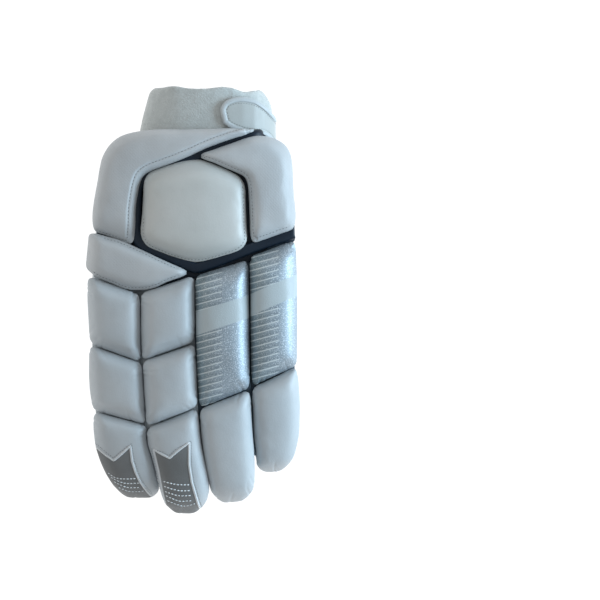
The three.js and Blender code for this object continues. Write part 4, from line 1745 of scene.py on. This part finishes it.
@dataclass
class PalmSide:
    """The inner hand: palm shell, finger stalls, thumb and the rolls under the overhang."""

    wardrobe: Wardrobe
    shells: tuple[Leather, ...] = (
        Leather("palm_shell", (0.33, 0.103), 0.0285, "back_base"),
        Leather("index_stall", (0.1, 0.128), 0.0117, "palm_shell"),
        Leather("middle_stall", (0.104, 0.14), 0.0135, "palm_shell"),
        Leather("ring_stall", (0.104, 0.132), 0.0127, "palm_shell"),
        Leather("little_stall", (0.1, 0.11), 0.01, "palm_shell"),
        Leather("thumb_stall", (0.075, 0.105), 0.0073, "palm_shell"),
    )
    pads: tuple[PadSpec, ...] = (
        PadSpec("thumb_pad", Slot.PAD, PAD_WHITE, cap=0.0, grow=0.0, facing=Facing.PALM, puckers=2),
        PadSpec("side_roll_upper", Slot.PAD, PAD_WHITE, cap=0.8, grow=0.2, facing=Facing.PALM, puckers=2),
        PadSpec("side_roll_lower", Slot.PAD, PAD_WHITE, cap=0.8, grow=0.2, facing=Facing.PALM, puckers=2),
    )
    patches: tuple[Patch, ...] = (
        Patch(
            ((-62.0, 17.0), (-47.0, 29.0), (-26.0, 20.5), (2.0, 7.5), (24.0, -3.0), (30.0, -12.0),
             (-62.0, -12.0)),
            PALM_PANEL,
        ),
        Patch(
            ((-47.0, 30.0), (-40.0, 43.0), (-23.0, 36.0), (5.0, 22.5), (34.0, 9.5), (48.0, 8.0), (44.0, -7.0),
             (28.0, -3.5), (2.0, 8.5), (-26.0, 21.5)),
            PALM_MESH,
        ),
    )
    rows: tuple[tuple[Point2, ...], ...] = (
        ((-49.0, 31.0), (-42.0, 44.5)),
        ((-48.0, 27.5), (-26.0, 18.8), (2.0, 5.8), (28.0, -6.0), (45.0, -9.0)),
        ((-49.0, 25.0), (-26.5, 16.4), (1.5, 3.4), (27.0, -8.4), (44.0, -11.5)),
        ((-60.0, 15.0), (-60.0, -10.0), (20.0, -10.0)),
        ((-57.6, 13.5), (-57.6, -7.6), (18.0, -7.6)),
        ((54.0, -11.0), (51.0, 10.0), (53.0, 32.0), (50.0, 56.0), (52.0, 80.0)),
        ((56.6, -11.0), (53.6, 10.0), (55.6, 32.0), (52.6, 56.0), (54.6, 80.0)),
        ((-22.0, 83.0), (44.0, 83.0)),
        ((-20.0, 79.0), (44.0, 79.0)),
        ((-18.0, 75.0), (44.0, 75.0)),
    )
    stall_seams: tuple[tuple[str, float, float], ...] = (
        ("index_stall", -65.0, -43.0), ("middle_stall", -27.0, -5.0), ("ring_stall", 14.0, 35.0),
        ("little_stall", 51.0, 70.0),
    )
    seam_inset: float = 6.5
    seam_top: float = -24.0
    patch_depth: float = 1.2
    pieces: dict[str, bpy.types.Object] = field(default_factory=dict)

    def build(self) -> None:
        """Builds the shells, the pads and their details."""
        for leather in self.shells:
            shell = link(f"{leather.node}_leather", node_bmesh(leather.node))
            subdivide(shell, QUICK_LEVEL, fitted=FIT_ROUNDS)
            finish_piece(shell, self.wardrobe.material(PALM_WHITE))
            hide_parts(leather.node)
            self.pieces[leather.node] = shell
        for spec in self.pads:
            pad = PaddedPiece(spec, self.wardrobe, pressure=3.0)
            self.pieces[spec.node] = pad.build()
            pad.sculpt()
            pad.dress()
        self.dress_palm()

    def dress_palm(self) -> None:
        """Lets the grip panel and the punched band into the palm and sews its rows of stitches."""
        palm = self.pieces["palm_shell"]
        cover = Cover([palm], Facing.PALM)
        for patch in self.patches:
            path = [*patch.outline, patch.outline[0]]
            material = self.wardrobe.material(patch.finish)
            let_in(palm, path, patch.outline, material, cover, self.patch_depth)
        paths = [cover.run(smooth_path(row, 0.6)) for row in self.rows]
        for node, left, right in self.stall_seams:
            stall = self.pieces[node]
            run = inset_run(stall, self.seam_inset, (left, self.seam_top), (right, self.seam_top), 0.6)
            paths.append(Cover([stall], Facing.PALM).run(run))
        rows = [StitchRow(path, pitch=2.6, length=1.8, width=0.5) for path in paths]
        finish_piece(sew("palm_stitches", rows), self.wardrobe.material(THREAD_GREY_AND_SHADED))


@dataclass
class Wrist:
    """The towelling cuff and the strap round it; lengths in millimetres, flat sizes in metres."""

    wardrobe: Wardrobe
    rim_waves: tuple[Point2, ...] = (
        (-34.0, -2.5), (-28.0, -0.8), (-19.0, -0.3), (-6.0, -0.5), (3.0, -1.6), (10.0, -1.9), (22.0, -0.6),
        (29.0, -1.8), (37.0, -4.0), (42.0, -3.6), (48.0, -2.2), (54.0, -4.0), (60.0, -6.5),
    )
    cuff_axis: Point2 = (10.0, 30.0)
    cuff_flat: Point2 = (0.262, 0.072)
    strap_flat: Point2 = (0.155, 0.036)
    rim_reach: float = 22.0
    lean: float = 1.7
    lean_width: float = 36.0
    crumple: float = 0.9
    nap: float = 0.16
    binding_inset: float = 1.9
    back_from: float = 40.0
    end_stops: float = 58.0
    end_join: float = 8.0
    end_outline: tuple[Point3, ...] = (
        (20.4, 138.4, 144.0), (21.2, 135.4, 146.4), (22.4, 132.9, 148.3), (24.5, 130.6, 149.9),
        (27.0, 128.9, 151.4), (31.4, 127.0, 152.4), (38.9, 124.7, 152.5), (46.4, 123.2, 151.0),
        (54.0, 121.0, 146.5),
    )

    def build(self) -> None:
        """Builds the cuff, the strap and its binding."""
        cuff = link("cuff_towelling", node_bmesh("cuff"))
        subdivide(cuff, FINE_LEVEL, fitted=FIT_ROUNDS)
        self.wave_rim(cuff)
        finish_piece(cuff, self.wardrobe.material(CUFF_TOWEL))
        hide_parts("cuff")
        strap = link("wrist_strap_leather", node_bmesh("wrist_strap"))
        subdivide(strap, QUICK_LEVEL)
        own = self.end_rows(strap)
        set_places(strap.data, self.rounded_end(vertex_array(strap.data), own))
        finish_piece(strap, self.wardrobe.material(STRAP_WHITE))
        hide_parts("wrist_strap")
        self.bind_strap(strap, own)

    def bind_strap(self, strap: bpy.types.Object, own: Sequence[Point3]) -> None:
        """Folds a binding round the strap's edge and sews it down along its inner side.

        Args:
            strap: the strap.
            own: its rows of X, lowest Y and highest Y, in metres.
        """
        edge = np.array([point * MM for point in outer_edge("wrist_strap", self.cuff_axis)])
        rim = even_steps([Vector(place) / MM for place in self.rounded_end(edge, own)], 1.6)
        cover = Cover([strap])
        centre = sum(rim, Vector()) / len(rim)
        inner = self.moved_in(cover, rim, self.binding_inset, centre)
        half = self.binding_inset + 0.35
        shape = (
            (-half, -1.6), (-half, -0.4), (-0.85 * half, 0.5), (-0.4 * half, 0.9), (0.15 * half, 0.95),
            (0.6 * half, 0.75), (0.85 * half, -0.1),
        )
        binding = laid_strip("strap_binding", inner, shape, 0.6, closed=True)
        subdivide(binding, 1)
        finish_piece(binding, self.wardrobe.material(BINDING_WHITE))
        sewn = self.moved_in(cover, rim, 2 * self.binding_inset + 0.9, centre)
        row = StitchRow(refine_spine(sewn, 4), pitch=2.1, length=1.3, width=0.4, height=0.35)
        finish_piece(sew("strap_stitches", [row]), self.wardrobe.material(THREAD_GREY_AND_SHADED))

    def rounded_end(self, places: np.ndarray, own: Sequence[Point3]) -> np.ndarray:
        """Gives the strap its round end on the back of the cuff.

        Args:
            places: places on the strap, in metres.
            own: rows of X, lowest Y and highest Y of the strap there, in metres.

        Returns:
            The moved places.
        """
        moved = places.copy()
        x, y = places[:, 0], places[:, 1]
        xs, lows, highs = (np.array(column) for column in zip(*own))
        share = (y - np.interp(x, xs, lows)) / (np.interp(x, xs, highs) - np.interp(x, xs, lows))
        end_x, end_low, end_high = (np.array(column) * MM for column in zip(*self.end_outline))
        join = xs[0] + self.end_join * MM
        fresh = np.where(x < join, np.interp(x, [xs[0], join], [end_x[0], join]), x)
        low, high = np.interp(fresh, end_x, end_low), np.interp(fresh, end_x, end_high)
        weight = np.interp(x, [end_x[-2], end_x[-1]], [1.0, 0.0]) * (places[:, 2] > self.back_from * MM)
        moved[:, 0] += weight * (fresh - x)
        moved[:, 1] += weight * (low + np.clip(share, 0.0, 1.0) * (high - low) - y)
        return moved

    def end_rows(self, strap: bpy.types.Object) -> list[Point3]:
        """Measures the strap along X on the back of the cuff.

        Args:
            strap: the strap.

        Returns:
            Rows of X, lowest Y and highest Y, in metres.
        """
        places = vertex_array(strap.data)
        back = places[places[:, 2] > self.back_from * MM]
        rows = []
        for x in np.arange(back[:, 0].min() + 0.3 * MM, self.end_stops * MM, 1.0 * MM):
            ys = back[np.abs(back[:, 0] - x) < 1.2 * MM, 1]
            if len(ys) > 3:
                rows.append((x, ys.min(), ys.max()))
        return rows

    def moved_in(self, cover: Cover, rim: Sequence[Vector], inset: float, centre: Vector) -> list[Hit]:
        """Moves the strap's rim inwards over its outer face.

        Args:
            cover: the strap's surface.
            rim: the rim's points in millimetres, with the first repeated at the end.
            inset: how far the points move, in millimetres.
            centre: the rim's centre; not used.

        Returns:
            Points and outward normals in metres, with the first repeated at the end.
        """
        axis = Vector((*self.cuff_axis, 0.0))
        spine = []
        count = len(rim) - 1
        score = 0.0
        sides = []
        for i in range(count):
            point = rim[i]
            out = Vector((point.x - axis.x, 0.0, point.z - axis.y)).normalized()
            along = (rim[(i + 1) % count] - rim[(i - 1) % count]).normalized()
            side = along.cross(out).normalized()
            sides.append((point, side, out))
            one, other = ((point + side * reach + out * 0.2) * MM for reach in (3.0, -3.0))
            score += (cover.nearest(one)[0] - one).length - (cover.nearest(other)[0] - other).length
        turn = 1.0 if score < 0 else -1.0
        for point, side, out in sides:
            spot, normal = cover.nearest((point + side * turn * inset + out * 0.8) * MM)
            spine.append((spot, (normal + out).normalized() if normal.dot(out) < 0.6 else normal))
        spine.append(spine[0])
        return spine

    def wave_rim(self, cuff: bpy.types.Object) -> None:
        """Waves the cuff's rim and crumples the towelling near it.

        Args:
            cuff: the cuff.
        """
        mesh = cuff.data
        places = vertex_array(mesh)
        xs, shifts = zip(*self.rim_waves)
        rim = places[:, 1].max()
        near = np.clip(1.0 - (rim - places[:, 1]) / (self.rim_reach * MM), 0.0, 1.0) ** 2
        places[:, 1] += np.interp(places[:, 0] / MM, xs, shifts) * MM * near
        places[:, 0] -= self.lean * MM * np.clip(-places[:, 0] / (self.lean_width * MM), 0.0, 1.0) ** 2
        set_places(mesh, places)
        crumple = np.array([noise.noise(Vector(place) * 70.0) for place in places])
        fine = np.array([noise.noise(Vector(place) * 240.0) for place in places])
        free = places[:, 2] > 6 * MM
        push(cuff, (self.crumple * crumple * (0.35 + near) + self.nap * fine) * MM * free)


@dataclass(frozen=True)
class Lamp:
    """A soft disk light: its place and width in metres and its power in watts."""

    name: str
    place: Point3
    width: float
    power: float
    colour: Colour


@dataclass
class Studio:
    """The pale floor, the soft lights and the camera; the centre is in millimetres, all else in metres."""

    lamps: tuple[Lamp, ...] = (
        Lamp("key", (2.05, 0.1, 0.6), 1.5, 63.0, (0.63, 0.84, 1.0)),
        Lamp("fill", (-1.6, 0.6, 1.3), 1.8, 7.0, (1.0, 0.985, 0.95)),
        Lamp("back", (-0.3, 1.9, 1.5), 1.4, 5.0, (0.97, 0.985, 1.0)),
    )
    lit_at: Point3 = (0.0, 0.0, 0.03)
    sky: Colour = (0.97, 0.985, 1.0)
    sky_strength: float = 0.43
    floor_dark: Colour = (0.12, 0.125, 0.13)
    floor_light: Colour = (0.16, 0.165, 0.17)
    floor_glow: float = 1.0
    centre: Point2 = (80.0, 0.0)
    height: float = 5.06
    focus: float = 0.06
    view_width: float = 0.45
    sensor: float = 36.0

    def build(self) -> None:
        """Builds the whole studio."""
        self.floor()
        for lamp in self.lamps:
            self.light(lamp)
        world = bpy.data.worlds.new("studio")
        bpy.context.scene.world = world
        world.use_nodes = True
        background = world.node_tree.nodes["Background"]
        background.inputs["Color"].default_value = (*self.sky, 1.0)
        background.inputs["Strength"].default_value = self.sky_strength
        self.camera()
        bpy.context.scene.view_settings.view_transform = "Standard"

    def floor(self) -> None:
        """Builds the pale floor."""
        bm = bmesh.new()
        bmesh.ops.create_grid(bm, x_segments=1, y_segments=1, size=6.0)
        floor = link("floor", bm)
        material, t, shader, coords = start_material("pale floor")
        tone = t.ramp(t.noise(coords, 3.0, 2.0), 0.2, 0.8)
        t.feed(shader.inputs["Base Color"], t.mix(tone, self.floor_dark, self.floor_light))
        shader.inputs["Roughness"].default_value = 0.9
        shader.inputs["Emission Color"].default_value = (1.0, 1.0, 1.0, 1.0)
        shader.inputs["Emission Strength"].default_value = self.floor_glow
        floor.data.materials.append(material)

    def light(self, lamp: Lamp) -> None:
        """Adds a soft area light that looks at the glove.

        Args:
            lamp: the light.
        """
        data = bpy.data.lights.new(lamp.name, "AREA")
        data.shape = "DISK"
        data.size = lamp.width
        data.energy = lamp.power
        data.color = lamp.colour
        obj = bpy.data.objects.new(lamp.name, data)
        bpy.context.scene.collection.objects.link(obj)
        obj.location = lamp.place
        obj.rotation_euler = (Vector(self.lit_at) - Vector(lamp.place)).to_track_quat("-Z", "Y").to_euler()

    def camera(self) -> None:
        """Adds the camera, straight above, with the glove where the photo has it."""
        data = bpy.data.cameras.new("camera")
        data.sensor_width = self.sensor
        data.lens = self.sensor * (self.height - self.focus) / self.view_width
        data.clip_end = 20.0
        camera = bpy.data.objects.new("camera", data)
        bpy.context.scene.collection.objects.link(camera)
        camera.location = (self.centre[0] * MM, self.centre[1] * MM, self.height)
        bpy.context.scene.camera = camera


def main() -> None:
    """Builds the glove's pieces and the studio."""
    logging.basicConfig(level=logging.INFO, format="%(message)s")
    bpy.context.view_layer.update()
    wardrobe = Wardrobe()
    for part in (BackOfHand(wardrobe), Fingers(wardrobe), PalmSide(wardrobe), Wrist(wardrobe), Studio()):
        part.build()
        log.info("built %s", type(part).__name__)


if __name__ == "__main__":
    main()
